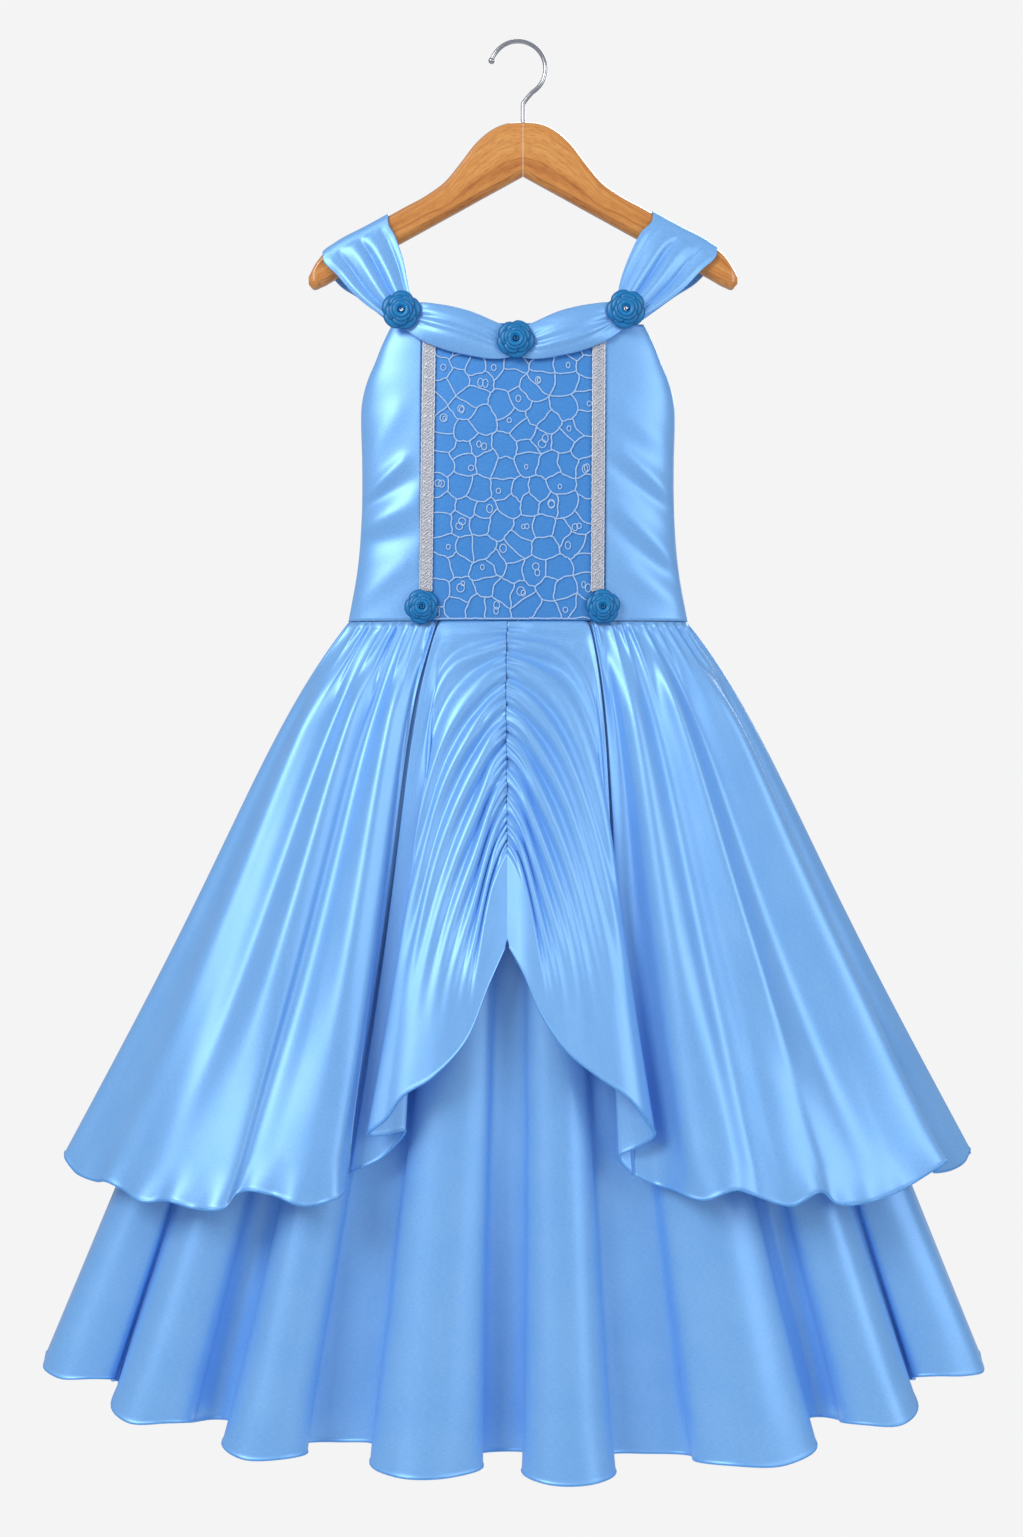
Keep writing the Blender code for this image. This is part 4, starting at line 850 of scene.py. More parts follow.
for strap in STRAPS:
    share = np.linspace(0.0, 1.0, STRAP_COLUMNS + 1)
    rows = []
    for station in strap.front:
        x = station.inner_x + (station.outer_x - station.inner_x) * share
        z = station.inner_z + (station.outer_z - station.inner_z) * share
        rows.append(np.stack([x, np.full_like(x, station.depth), z], axis=1))
    reach = ARM_HALF_THICK + ARM_CLEAR
    across = strap.inner + (strap.outer - strap.inner) * share
    arm_top = eased(np.abs(across - ARM_CENTRE_X), [(s.out, s.top) for s in ARM_SECTIONS])
    for angle in (0, 25, 50, 75, 105, 130, 155, 180):
        turn = math.radians(angle)
        lift = (ARM_CROWN + ARM_CLEAR) * math.sin(turn) - ARM_CROWN
        rows.append(np.stack([across, np.full_like(across, -reach * math.cos(turn)), arm_top + lift], axis=1))
    for station in strap.back:
        x = station.inner_x + (station.outer_x - station.inner_x) * share
        z = station.inner_z + (station.outer_z - station.inner_z) * share
        rows.append(np.stack([x, np.full_like(x, station.depth), z], axis=1))
    grid = smooth_rows(rows, 110)
    along = np.linspace(0.0, 1.0, 110)[:, None]
    wide = share[None, :]
    front = np.clip(1 - along / 0.42, 0.0, 1.0)
    back = np.clip((along - 0.62) / 0.38, 0.0, 1.0)
    pleats = 2.6 * lobe(wide, 0.30 + 0.06 * along, 0.10) + 3.2 * lobe(wide, 0.62 - 0.1 * along, 0.11)
    pleats = pleats - 2.4 * lobe(wide, 0.46 - 0.05 * along, 0.045) - 1.6 * lobe(wide, 0.13, 0.05)
    pleats = pleats - 2.0 * lobe(wide, 0.80 - 0.06 * along, 0.04) + 1.8 * lobe(wide, 0.92, 0.06)
    shape = np.sin(math.pi * np.clip(front, 0.0, 1.0)) ** 0.6 + 0.6 * np.sin(math.pi * back)
    over = 1.1 * lobe(along, 0.5, 0.14) * (np.clip((wide - 0.66) / 0.03, -1.0, 0.0) + 1.0) * 0.0
    normal = outward(grid if strap.inner < 0 else grid[:, ::-1])
    normal = normal if strap.inner < 0 else normal[:, ::-1]
    if normal[20, 35, 1] > 0:
        normal = -normal
    grid = grid + normal * (pleats * shape + over)[..., None]
    piece = sheet_of_cloth("satin_" + strap.node, grid if strap.inner < 0 else grid[:, ::-1], STRAP_CUT,
                           [pale_satin], strap.node)

# Roses
# Five roses of bright turquoise satin ribbon, wound from a tight bud to open outer petals,
# stitched through and sewn over each pinch and the foot of each braid.

Rose = namedtuple("Rose", "x z stand radius turn")
ROSES = {
    "rose_strap_left": Rose(-92.5, -217.5, 25.0, 15.0, 0.2),
    "rose_neck_centre": Rose(-2.0, -241.0, 30.6, 14.5, 1.1),
    "rose_strap_right": Rose(85.5, -216.5, 25.0, 15.0, 2.0),
    "rose_waist_left": Rose(-76.0, -452.0, 26.7, 13.2, 0.7),
    "rose_waist_right": Rose(67.0, -452.0, 27.3, 13.2, 1.6),
}
ROSE_DEPTH = 9.0
PetalRing = namedtuple("PetalRing", "count spread root lip base rise curl")
PETAL_RINGS = [
    PetalRing(5, 0.86, 0.30, 1.02, 0.04, 0.36, 0.16),
    PetalRing(5, 0.80, 0.26, 0.80, 0.22, 0.62, 0.12),
    PetalRing(4, 0.95, 0.22, 0.60, 0.36, 0.82, 0.08),
    PetalRing(3, 1.20, 0.16, 0.42, 0.45, 0.94, 0.05),
]

rose_satin, tree, shader = new_material("turquoise_satin_painted_light")
# Tightly wound ribbon of one turquoise, with painted light: a ramp from each petal's lip to its root paints a
# highlight on each lip where it turns, and shade between the petals
laid = add(tree, "ShaderNodeUVMap", uv_map="laid_flat")
lip = add(tree, "ShaderNodeSeparateXYZ", {"Vector": laid.outputs[0]})
local = add(tree, "ShaderNodeTexCoord")
fibre = add(tree, "ShaderNodeTexNoise", {"Vector": local.outputs["Object"], "Scale": 900.0, "Detail": 2.0})
# Painted highlight and shade: the ramp below runs from each petal's lip to its root
edge = add(tree, "ShaderNodeMapRange",
           {"Value": lip.outputs["Y"], "From Min": 0.0, "From Max": 0.010, "To Min": 1.0, "To Max": 0.0})
ramp = add(tree, "ShaderNodeValToRGB", {"Fac": edge.outputs[0]})
ramp.color_ramp.elements[0].color = linear("#0a6fae")
ramp.color_ramp.elements[1].color = linear("#27b4ec")
painted_half_shade = ramp.color_ramp.elements.new(0.6)
painted_half_shade.color = linear("#0e93d2")
tone = add(tree, "ShaderNodeMix", {"Factor": 0.18, 7: fibre.outputs["Color"]}, data_type="RGBA", blend_type="OVERLAY")
tree.links.new(ramp.outputs[0], tone.inputs[6])
tree.links.new(fibre.outputs["Color"], tone.inputs[7])
tree.links.new(tone.outputs[2], shader.inputs["Base Color"])
bump = add(tree, "ShaderNodeBump", {"Height": fibre.outputs["Fac"], "Strength": 0.15, "Distance": 0.0002})
tree.links.new(bump.outputs[0], shader.inputs["Normal"])
shader.inputs["Roughness"].default_value = 0.36
shader.inputs["Specular IOR Level"].default_value = 0.5


def petal_points(rose, ring, middle):
    """A grid over one petal, from its lip to its root, cupped forward with its lip curled out."""
    t = np.linspace(1.0, 0.0, 11)[:, None]
    a = np.linspace(-1.0, 1.0, 17)[None, :]
    turn = middle + a * ring.spread * math.pi / ring.count * 1.25
    round_off = 1 - 0.22 * np.abs(a) ** 3
    reach = ring.root + (ring.lip - ring.root) * t**1.3 * round_off + 0 * a
    rise = ring.base + (ring.rise - ring.base) * np.sin(np.clip(t * 1.15, 0.0, 1.0) * math.pi / 2) * round_off
    rise = rise - ring.curl * np.clip((t - 0.75) / 0.25, 0.0, 1.0) ** 2 + 0.03 * a
    reach = reach * rose.radius
    x = rose.x + reach * np.cos(turn)
    z = rose.z + reach * np.sin(turn)
    y = -rose.stand - ROSE_DEPTH * rise
    return np.stack([x, y, z], axis=2)


def add_wall(target, points, cut, thick):
    """Adds a grid of points to a bmesh as a closed wall."""
    mesh, _, _ = laid_grid(points, cut)
    part = bmesh.new()
    part.from_mesh(mesh)
    bpy.data.meshes.remove(mesh)
    bmesh.ops.solidify(part, geom=part.faces[:], thickness=thick * MM)
    bmesh.ops.recalc_face_normals(part, faces=part.faces)
    mesh = bpy.data.meshes.new("wall")
    part.to_mesh(mesh)
    part.free()
    target.from_mesh(mesh)
    bpy.data.meshes.remove(mesh)


for node, rose in ROSES.items():
    flower = bmesh.new()
    flower.loops.layers.uv.new("laid_flat")
    for number, ring in enumerate(PETAL_RINGS):
        for petal in range(ring.count):
            middle = rose.turn + 2 * math.pi * (petal + 0.5 * number) / ring.count
            add_wall(flower, petal_points(rose, ring, middle), (0.012, 0.010), 0.7)
    turns = np.linspace(0.0, 2.2 * 2 * math.pi, 70)
    reach = rose.radius * (0.05 + 0.25 * turns / turns[-1])
    bud = []
    for t in (1.0, 0.8, 0.5, 0.2, 0.0):
        flare = 1.0 + 0.12 * t**3
        y = -rose.stand - ROSE_DEPTH * (0.4 + (0.62 - 0.12 * (turns / turns[-1])) * t)
        x = rose.x + reach * flare * np.cos(turns + rose.turn)
        z = rose.z + reach * flare * np.sin(turns + rose.turn)
        bud.append(np.stack([x, y, z], axis=1))
    add_wall(flower, np.array(bud), (0.06, 0.010), 0.7)
    flower_mesh = bpy.data.meshes.new(node)
    flower.to_mesh(flower_mesh)
    flower.free()
    add_piece("satin_" + node, flower_mesh, [rose_satin], [node])

# Underskirt
# Two widths of the pale satin gathered into the waist seam, hanging in broad cones. The hem is a
# narrow rolled edge, overlocked in blue thread, which makes it flare in small curls.

UNDER_INSET = 2.8
WAIST_SPRING = 9.0
FOLD_GROWTH = 1.8
CALM_REACH = 24
HEM_ROLL = 2.5
HEM_STEPS = (3.4, 2.5, 1.7, 0.8, 0.0)
HEM_WALLS = (0.5, 0.62, 1.0, 1.0, 0.72)
Fold = namedtuple("Fold", "left right crest low roll_left roll_right valley valley_low")
UNDER_FOLDS = [
    Fold(-376.0, -318.0, 42.0, -1060.0, 0.0, 2.0, 24.0, -1065.0),
    Fold(-318.0, -255.0, 75.0, -1088.0, 2.0, 0.0, 36.0, -1093.0),
    Fold(-230.0, -164.0, 90.0, -1112.5, 6.0, 6.0, 45.0, -1109.0),
    Fold(-117.0, -26.0, 98.0, -1124.5, 7.0, 7.0, 46.0, -1116.0),
    Fold(3.0, 76.0, 100.0, -1129.5, 7.0, 7.0, 46.0, -1117.5),
    Fold(135.0, 233.0, 90.0, -1117.0, 0.0, 7.0, 36.0, -1091.0),
    Fold(253.0, 313.0, 75.0, -1089.5, 0.0, 4.0, 24.0, -1064.0),
    Fold(311.0, 367.0, 42.0, -1058.0, 2.0, 0.0, 22.0, -1055.0),
]
UNDER_SIDE_Z = -1048.0
UNDER_SIDE_X = (-377.0, 369.0)


def flowing(table, shares):
    """Points on a smooth curve through the rows of a table, at shares of its length.
    The first three columns are a place. A fourth flows along, and counts twice in the length."""
    rows = np.array(table, float)
    steps = np.diff(rows, axis=0)
    steps = np.linalg.norm(steps[:, :3], axis=1) + 2 * np.abs(steps[:, 3:]).sum(axis=1)
    knots = np.concatenate([[0.0], np.cumsum(steps)])
    slopes = np.gradient(rows, knots, axis=0)
    place = np.asarray(shares) * knots[-1]
    index = np.clip(np.searchsorted(knots, place, side="right") - 1, 0, len(rows) - 2)
    span = (knots[index + 1] - knots[index])[:, None]
    u = (place[:, None] - knots[index][:, None]) / span
    return (
        (2 * u**3 - 3 * u**2 + 1) * rows[index]
        + (u**3 - 2 * u**2 + u) * span * slopes[index]
        + (3 * u**2 - 2 * u**3) * rows[index + 1]
        + (u**3 - u**2) * span * slopes[index + 1]
    )


def calmed(table, shares):
    """The same curve with its folds averaged away and its ends kept."""
    places = np.linspace(0.0, 1.0, 201)
    fine = flowing(table, places)
    before = 2 * fine[0] - fine[CALM_REACH:0:-1]
    after = 2 * fine[-1] - fine[-2 : -2 - CALM_REACH : -1]
    weight = np.hanning(2 * CALM_REACH + 3)[1:-1]
    padded = np.concatenate([before, fine, after]).T
    mean = [np.convolve(part, weight / weight.sum(), mode="valid") for part in padded]
    return np.stack([np.interp(shares, places, part) for part in mean], axis=1)


def waist_line(share, inset, column):
    """Points of the waist seam: share -1 is the left side seam, 0 the centre and 1 the right."""
    ring = BODICE_RINGS[0]
    turn = np.radians(np.linspace(-90.0, 90.0, 361))
    x = np.sign(np.sin(turn)) * np.abs(np.sin(turn)) ** (2 / SQUARENESS) * (ring.half_width - inset)
    y = np.abs(np.cos(turn)) ** (2 / SQUARENESS) * (getattr(ring, column) - inset)
    if column == "front":
        y = -y
    length = np.concatenate([[0.0], np.cumsum(np.hypot(np.diff(x), np.diff(y)))])
    middle = np.interp(0.0, x, length)
    place = np.where(np.asarray(share) < 0, middle * (1 + share), middle + (length[-1] - middle) * share)
    return np.stack([np.interp(place, length, x), np.interp(place, length, y)], axis=-1)


def spring(down):
    """How a gathered skirt stands off below its seam: 0 at the seam, most a fifth of the way down."""
    return down * (1 - down) ** 4 / 0.08192


def hung(waist, calm, hem, down, growth=FOLD_GROWTH):
    """Points a share of the way down from the waist to the hem.
    The folds of the hem grow from nothing at the waist, faster than the skirt widens."""
    out = waist * np.array([1 / 3, 1.0])
    out = out / np.maximum(np.linalg.norm(out, axis=1, keepdims=True), 1e-9)
    down = np.broadcast_to(down, len(waist))[:, None]
    plan = waist + (calm[:, :2] - waist) * down + (hem - calm)[:, :2] * down**growth
    plan = plan + out * spring(down) * WAIST_SPRING
    top = WAIST_Z - 1.5 * SEAM_GAP
    height = top + (calm[:, 2:3] - top) * down + (hem - calm)[:, 2:3] * down**growth
    return np.hstack([plan, height])


def rows_down(count, length):
    """Shares down a skirt of a given length, even to the hem and then close over its roll."""
    even = np.linspace(0.0, 1.0 - (HEM_STEPS[0] + 2.0) / length, count)
    return np.concatenate([even, 1.0 - np.array(HEM_STEPS) / length])


def hem_wall(rows, columns):
    """Thickness shares for a skirt whose last rows are its rolled hem."""
    wall = np.full((rows, columns), 0.5)
    wall[-len(HEM_WALLS):] = np.array(HEM_WALLS)[:, None]
    return wall


SkirtFold = namedtuple("SkirtFold", "waist hem start end width depth")


def folded(across, down, folds):
    """Height of soft ridges, or of troughs where the depth is less than 0, that run down a skirt.
    Each goes from a share across at the waist to one at the hem, between two shares down."""
    total = np.zeros(np.broadcast(across, down).shape)
    for fold in folds:
        middle = fold.waist + (fold.hem - fold.waist) * down
        rise = np.clip((down - fold.start) / 0.12, 0.0, 1.0)
        fall = np.clip((fold.end - down) / 0.35, 0.0, 1.0)
        fade = rise * rise * (3 - 2 * rise) * fall * fall * (3 - 2 * fall)
        total = total + fold.depth * lobe(across, middle, fold.width) * fade
    return total


def gathers(across, down, count, seed, depth=4.2, reach=(0.10, 0.30), ends=(True, True)):
    """Height of the small pleats below a gathered seam. Each is a rounded ridge of its own width,
    fullness and length, so no two are alike, and it opens and fades on its way down."""
    chance = np.random.RandomState(seed)
    total = np.zeros(np.broadcast(across, down).shape)
    edges = np.linspace(0.0, 1.0, count + 1)
    edges[1:-1] += chance.uniform(-0.28, 0.28, count - 1) / count
    for left, right in zip(edges, edges[1:]):
        long = chance.uniform(*reach)
        full = depth * chance.uniform(0.6, 1.0)
        lean = chance.uniform(-0.5, 0.5) * (right - left)
        middle = (left + right) / 2 + lean * np.clip(down / long, 0.0, 1.0)
        half = (right - left) / 2 * (1.0 + 0.6 * np.clip(down / long, 0.0, 1.0))
        ridge = np.clip(1 - ((across - middle) / half) ** 2, 0.0, 1.0) ** 0.8
        rise = np.clip(down / 0.012, 0.0, 1.0)
        fall = np.clip(1 - down / long, 0.0, 1.0)
        total = np.maximum(total, full * ridge * rise * fall * fall * (3 - 2 * fall))
    if ends[0]:
        total = total * np.clip(across / 0.02, 0.0, 1.0)
    if ends[1]:
        total = total * np.clip((1 - across) / 0.02, 0.0, 1.0)
    return total


def curled(points, across, down, count, seed, size=2.2):
    """Small outward and inward curls of a rolled hem, uneven in size, gone 30 mm above it."""
    chance = np.random.RandomState(seed)
    knots = np.linspace(0.0, 1.0, count * 2 + 1)
    knots[1:-1] += chance.uniform(-0.2, 0.2, count * 2 - 1) / (count * 2)
    tops = chance.uniform(0.4, 1.0, count * 2 + 1) * np.where(np.arange(count * 2 + 1) % 2, 1.0, -1.0)
    tops[0] = tops[-1] = 0.0
    wave = eased(np.clip(across, 0.0, 1.0), list(zip(knots, tops)))
    near = np.clip((down - 0.93) / 0.07, 0.0, 1.0) ** 1.6
    return points + outward(points) * (wave * size * near)[..., None]


def fold_route(folds, side_x, side_z):
    """Hem of the front as seen from above: up each fold's side, over its crest and down again."""
    half = SEAM_GAP / 2
    route = [(side_x[0], -half, side_z), (side_x[0], -8.0, side_z - 3.0)]
    before = 8.0
    for number, fold in enumerate(folds):
        wide = fold.right - fold.left
        rise_left, rise_right = fold.crest - before, fold.crest - fold.valley
        mid_left = fold.low + 0.35 * (folds[number - 1].valley_low - fold.low) if number else fold.low + 5.0
        mid_right = fold.low + 0.35 * (fold.valley_low - fold.low)
        if number:
            route.append((fold.left + fold.roll_left, -before - 0.2 * rise_left, folds[number - 1].valley_low))
        route.append((fold.left + 0.02 * wide, -before - 0.62 * rise_left, mid_left))
        route.append((fold.left + 0.26 * wide, -fold.crest + 2.0, fold.low))
        route.append((fold.right - 0.26 * wide, -fold.crest + 2.0, fold.low))
        route.append((fold.right - 0.02 * wide, -fold.valley - 0.62 * rise_right, mid_right))
        if number < len(folds) - 1:
            route.append((fold.right - fold.roll_right, -fold.valley - 0.2 * rise_right, fold.valley_low))
            follower = folds[number + 1]
            middle = (fold.right - fold.roll_right + follower.left + follower.roll_left) / 2
            route.append((middle, -fold.valley, fold.valley_low))
        before = fold.valley
    route += [(side_x[1], -8.0, side_z - 3.0), (side_x[1], -half, side_z)]
    return route


def back_route(side_x, side_z, centre_z, deep, shallow, waves):
    """Hem of the back, from the left side seam to the right, in even soft waves near the wall."""
    half = SEAM_GAP / 2
    steps = waves * 4
    route = [(side_x[0], half, side_z), (side_x[0], 7.0, side_z - 2.0)]
    for step in range(1, steps):
        share = step / steps
        x = side_x[0] + (side_x[1] - side_x[0]) * share
        swell = math.sin(math.pi * share)
        wave = 0.5 - 0.5 * math.cos(2 * math.pi * waves * share)
        y = shallow * min(1.0, swell * 2) + (deep - shallow) * wave * swell
        route.append((x * 0.985, y, side_z + (centre_z - side_z) * swell - 3.0 * wave))
    route += [(side_x[1], 7.0, side_z - 2.0), (side_x[1], half, side_z)]
    return route


# Overlock thread wrapped round the rolled edge: close slanting stitches and shinier; its deeper blue is painted shade
# along the rolled edge
hem_thread_painted_shade, tree, shader = new_material("overlocked_thread_painted_shade")
local = add(tree, "ShaderNodeTexCoord")
stitch = add(tree, "ShaderNodeTexNoise", {"Vector": local.outputs["Object"], "Scale": 700.0, "Detail": 1.0})
tone = add(tree, "ShaderNodeMix", {"Factor": stitch.outputs["Fac"]}, data_type="RGBA")
# Painted shade: the deeper blue of the hem rows stands in for the shade along the rolled edge
tone.inputs[6].default_value = linear("#3f8fdc")
tone.inputs[7].default_value = linear("#79b8f2")
tree.links.new(tone.outputs[2], shader.inputs["Base Color"])
bump = add(tree, "ShaderNodeBump", {"Height": stitch.outputs["Fac"], "Strength": 0.25, "Distance": 0.0002})
tree.links.new(bump.outputs[0], shader.inputs["Normal"])
shader.inputs["Roughness"].default_value = 0.34
shader.inputs["Metallic"].default_value = 0.15
CLOTH_AND_HEM = [pale_satin, hem_thread_painted_shade]


def skirt(waist, route, columns, downs, growth=FOLD_GROWTH):
    """Rows of a gathered skirt, from its waist seam down to its hem."""
    calm, hem = calmed(route, columns), flowing(route, columns)
    return np.array([hung(waist, calm, hem, down, growth) for down in downs])


columns = np.linspace(0.0, 1.0, 301)
downs = rows_down(60, 650.0) ** 0.9
waist = waist_line(columns * 2 - 1, UNDER_INSET, "front")
waist[0, 1] = waist[-1, 1] = -half_gap
grid = skirt(waist, fold_route(UNDER_FOLDS, UNDER_SIDE_X, UNDER_SIDE_Z), columns, downs)
grid = curled(grid, columns[None, :], downs[:, None], 17, 21, 1.6)
UNDER_CUT = (1.05, 0.65)
piece = sheet_of_cloth("satin_underskirt_front", grid, UNDER_CUT, CLOTH_AND_HEM, "underskirt_front",
                       hem_wall(*grid.shape[:2]), HEM_ROLL)

columns = np.linspace(0.0, 1.0, 221)
downs = rows_down(48, 640.0)
waist = waist_line(columns * 2 - 1, UNDER_INSET, "back")
waist[0, 1] = waist[-1, 1] = half_gap
grid = skirt(waist, back_route(UNDER_SIDE_X, UNDER_SIDE_Z, -1108.0, 36.0, 10.0, 7), columns, downs)
grid = curled(grid, columns[None, :], downs[:, None], 17, 22, 1.6)
piece = sheet_of_cloth("satin_underskirt_back", grid, (0.85, 0.64), CLOTH_AND_HEM, "underskirt_back",
                       hem_wall(*grid.shape[:2]), HEM_ROLL)

# Overskirt sides and back
# Wide panels of the pale satin, gathered into the waist in small uneven pleats that open into
# long soft folds. The side panels fold over the ruched drapes at their front edges.

CENTRE_SEAM_X = -8.4
DRAPE_SEAM = 1.7
HemRow = namedtuple("HemRow", "x y z gather")
LEFT_SIDE_HEM = [
    HemRow(-131.6, -66.2, -897.0, 56.0),
    HemRow(-136.0, -74.0, -899.0, 57.0),
    HemRow(-127.4, -86.0, -902.0, 59.0),
    HemRow(-137.0, -99.0, -909.0, 62.0),
    HemRow(-165.0, -106.0, -915.0, 70.0),
    HemRow(-190.0, -101.0, -907.0, 78.0),
    HemRow(-215.0, -94.0, -907.0, 85.0),
    HemRow(-226.0, -100.0, -918.0, 89.0),
    HemRow(-246.0, -96.0, -919.0, 95.0),
    HemRow(-274.0, -85.0, -914.0, 103.0),
    HemRow(-290.0, -79.0, -916.0, 108.0),
    HemRow(-307.0, -64.0, -909.0, 114.5),
    HemRow(-322.0, -52.0, -904.0, 120.0),
    HemRow(-334.0, -38.0, -905.0, 125.5),
    HemRow(-351.0, -20.0, -900.5, 132.0),
    HemRow(-361.5, -8.0, -891.0, 137.0),
    HemRow(-362.4, -0.15, -888.0, 140.0),
]
RIGHT_SIDE_HEM = [
    HemRow(89.6, -69.0, -897.0, 66.0),
    HemRow(105.4, -73.0, -904.0, 69.0),
    HemRow(121.0, -88.0, -907.0, 72.0),
    HemRow(142.0, -105.0, -911.0, 80.0),
    HemRow(169.0, -106.0, -903.0, 89.0),
    HemRow(187.0, -100.0, -910.0, 95.0),
    HemRow(209.0, -107.0, -915.0, 102.0),
    HemRow(235.0, -98.0, -906.0, 110.0),
    HemRow(246.0, -94.0, -915.0, 114.0),
    HemRow(271.0, -86.0, -915.0, 122.0),
    HemRow(298.0, -74.0, -907.0, 131.0),
    HemRow(334.6, -54.0, -889.0, 141.0),
    HemRow(328.0, -40.0, -898.0, 144.0),
    HemRow(343.0, -24.0, -898.5, 148.0),
    HemRow(356.5, -11.0, -893.0, 152.5),
    HemRow(361.6, -0.15, -885.0, 156.0),
]
LEFT_FOLDS = [
    SkirtFold(0.05, 0.07, 0.02, 1.2, 0.05, 6.0),
    SkirtFold(0.22, 0.20, 0.05, 0.9, 0.05, -4.0),
    SkirtFold(0.34, 0.36, 0.04, 1.0, 0.06, 5.0),
    SkirtFold(0.47, 0.50, 0.06, 0.85, 0.05, -4.5),
    SkirtFold(0.60, 0.62, 0.03, 1.0, 0.06, 5.0),
    SkirtFold(0.76, 0.78, 0.08, 0.9, 0.06, -4.0),
    SkirtFold(0.90, 0.90, 0.05, 0.8, 0.05, 3.0),
]
RIGHT_FOLDS = [
    SkirtFold(0.06, 0.08, 0.02, 1.2, 0.05, 6.0),
    SkirtFold(0.20, 0.22, 0.06, 0.9, 0.05, -4.0),
    SkirtFold(0.30, 0.38, 0.04, 1.0, 0.06, 4.5),
    SkirtFold(0.44, 0.52, 0.03, 0.9, 0.045, -6.0),
    SkirtFold(0.56, 0.64, 0.03, 1.1, 0.06, 6.0),
    SkirtFold(0.74, 0.78, 0.05, 0.95, 0.06, -5.0),
    SkirtFold(0.88, 0.90, 0.05, 0.9, 0.05, 4.0),
]


def waist_from_seam(distance, half_length, side):
    """Waist points at distances along the front waist from the ruched seam.
    half_length is the whole distance to that side's seam."""
    start = CENTRE_SEAM_X * 0.93 / BODICE_RINGS[0].half_width
    return waist_line(start + (side - start) * np.asarray(distance) / half_length, 0.0, "front")


SidePanel = namedtuple("SidePanel", "node hem side folds seed cut area")
SIDE_PANELS = [
    SidePanel("overskirt_side_left", LEFT_SIDE_HEM, -1, LEFT_FOLDS, 31, (0.36, 0.45), 0.105),
    SidePanel("overskirt_side_right", RIGHT_SIDE_HEM, 1, RIGHT_FOLDS, 47, (0.40, 0.45), 0.118),
]
for panel in SIDE_PANELS:
    columns = np.linspace(0.0, 1.0, 235)
    downs = rows_down(100, 450.0)
    waist = waist_from_seam(calmed(panel.hem, columns)[:, 3], panel.hem[-1].gather, panel.side)
    waist[-1, 1] = -half_gap
    grid = skirt(waist, panel.hem, columns, downs)
    grid[..., 0] += panel.side * DRAPE_SEAM * np.clip(1 - columns / 0.19, 0.0, 1.0)
    across, down = columns[None, :], downs[:, None]
    facing = grid if panel.side > 0 else grid[:, ::-1]
    normal = outward(facing)
    normal = normal if panel.side > 0 else normal[:, ::-1]
    height = gathers(across, down, 11, panel.seed) + folded(across, down, panel.folds)
    height = height * np.clip((1 - across) / 0.03, 0.0, 1.0) * np.clip(down / 0.01, 0.0, 1.0)
    grid = grid + normal * height[..., None]
    grid = grid if panel.side > 0 else grid[:, ::-1]
    grid = curled(grid, across if panel.side > 0 else across[:, ::-1], down, 9, panel.seed + 1, 2.2)
    piece = sheet_of_cloth("satin_" + panel.node, grid, panel.cut, CLOTH_AND_HEM, panel.node,
                           hem_wall(*grid.shape[:2]), HEM_ROLL)

side_x = (LEFT_SIDE_HEM[-1].x, RIGHT_SIDE_HEM[-1].x)
columns = np.linspace(0.0, 1.0, 231)
downs = rows_down(66, 450.0)
waist = waist_line(columns * 2 - 1, 0.0, "back")
waist[0, 1] = waist[-1, 1] = half_gap
grid = skirt(waist, back_route(side_x, -888.0, -926.0, 60.0, 35.0, 6), columns, downs)
height = gathers(columns[None, :], downs[:, None], 20, 53)
height = height * np.clip(downs[:, None] / 0.01, 0.0, 1.0)
grid = grid - outward(grid) * height[..., None]
grid = curled(grid, columns[None, :], downs[:, None], 17, 54, 2.2)
piece = sheet_of_cloth("satin_overskirt_back", grid, (0.9, 0.455), CLOTH_AND_HEM, "overskirt_back",
                       hem_wall(*grid.shape[:2]), HEM_ROLL)

# Ruched drapes
# The overskirt's front edges are shirred on elastic up the centre seam to two thirds of their
# length, so each half hangs in hooked folds that leave the seam, turn over and run down.

LEFT_DRAPE_HEM = [
    HemRow(-8.55, -70.0, -716.7, 0.0),
    HemRow(-22.0, -78.0, -747.0, 8.0),
    HemRow(-41.0, -88.0, -792.0, 18.0),
    HemRow(-67.0, -94.0, -819.0, 28.0),
    HemRow(-90.0, -93.0, -834.0, 37.0),
    HemRow(-101.0, -91.0, -850.0, 42.0),
    HemRow(-116.0, -84.0, -864.0, 47.0),
    HemRow(-102.0, -77.0, -864.0, 49.0),
    HemRow(-88.0, -72.0, -862.0, 51.0),
    HemRow(-103.0, -67.0, -881.0, 53.0),
    HemRow(-131.0, -66.0, -896.0, 56.0),
]
RIGHT_DRAPE_HEM = [
    HemRow(-8.25, -70.0, -716.7, 0.0),
    HemRow(3.0, -78.0, -737.0, 8.0),
    HemRow(19.0, -86.0, -773.0, 18.0),
    HemRow(36.0, -90.0, -797.0, 27.0),
    HemRow(62.0, -95.0, -818.0, 38.0),
    HemRow(85.0, -96.0, -834.0, 46.0),
    HemRow(99.0, -93.0, -852.0, 53.0),
    HemRow(105.4, -86.0, -864.0, 58.0),
    HemRow(92.0, -77.0, -874.0, 61.0),
    HemRow(78.5, -72.0, -882.0, 63.0),
    HemRow(89.0, -69.0, -896.0, 66.0),
]
PUCKERS = 13
PUCKER_SHARE = 0.72
DRAPE_GROWTH = 2.4
DRAPE_COLUMNS = 130
ROWS_A_PUCKER = 11
ArcShape = namedtuple("ArcShape", "radius squareness")
ARC_SHAPES = [
    ArcShape(0.0, 2.0),
    ArcShape(0.3, 2.1),
    ArcShape(0.6, 2.3),
    ArcShape(0.85, 3.0),
    ArcShape(0.96, 6.0),
    ArcShape(1.0, 60.0),
]
BigFold = namedtuple("BigFold", "radius width depth peak reach")
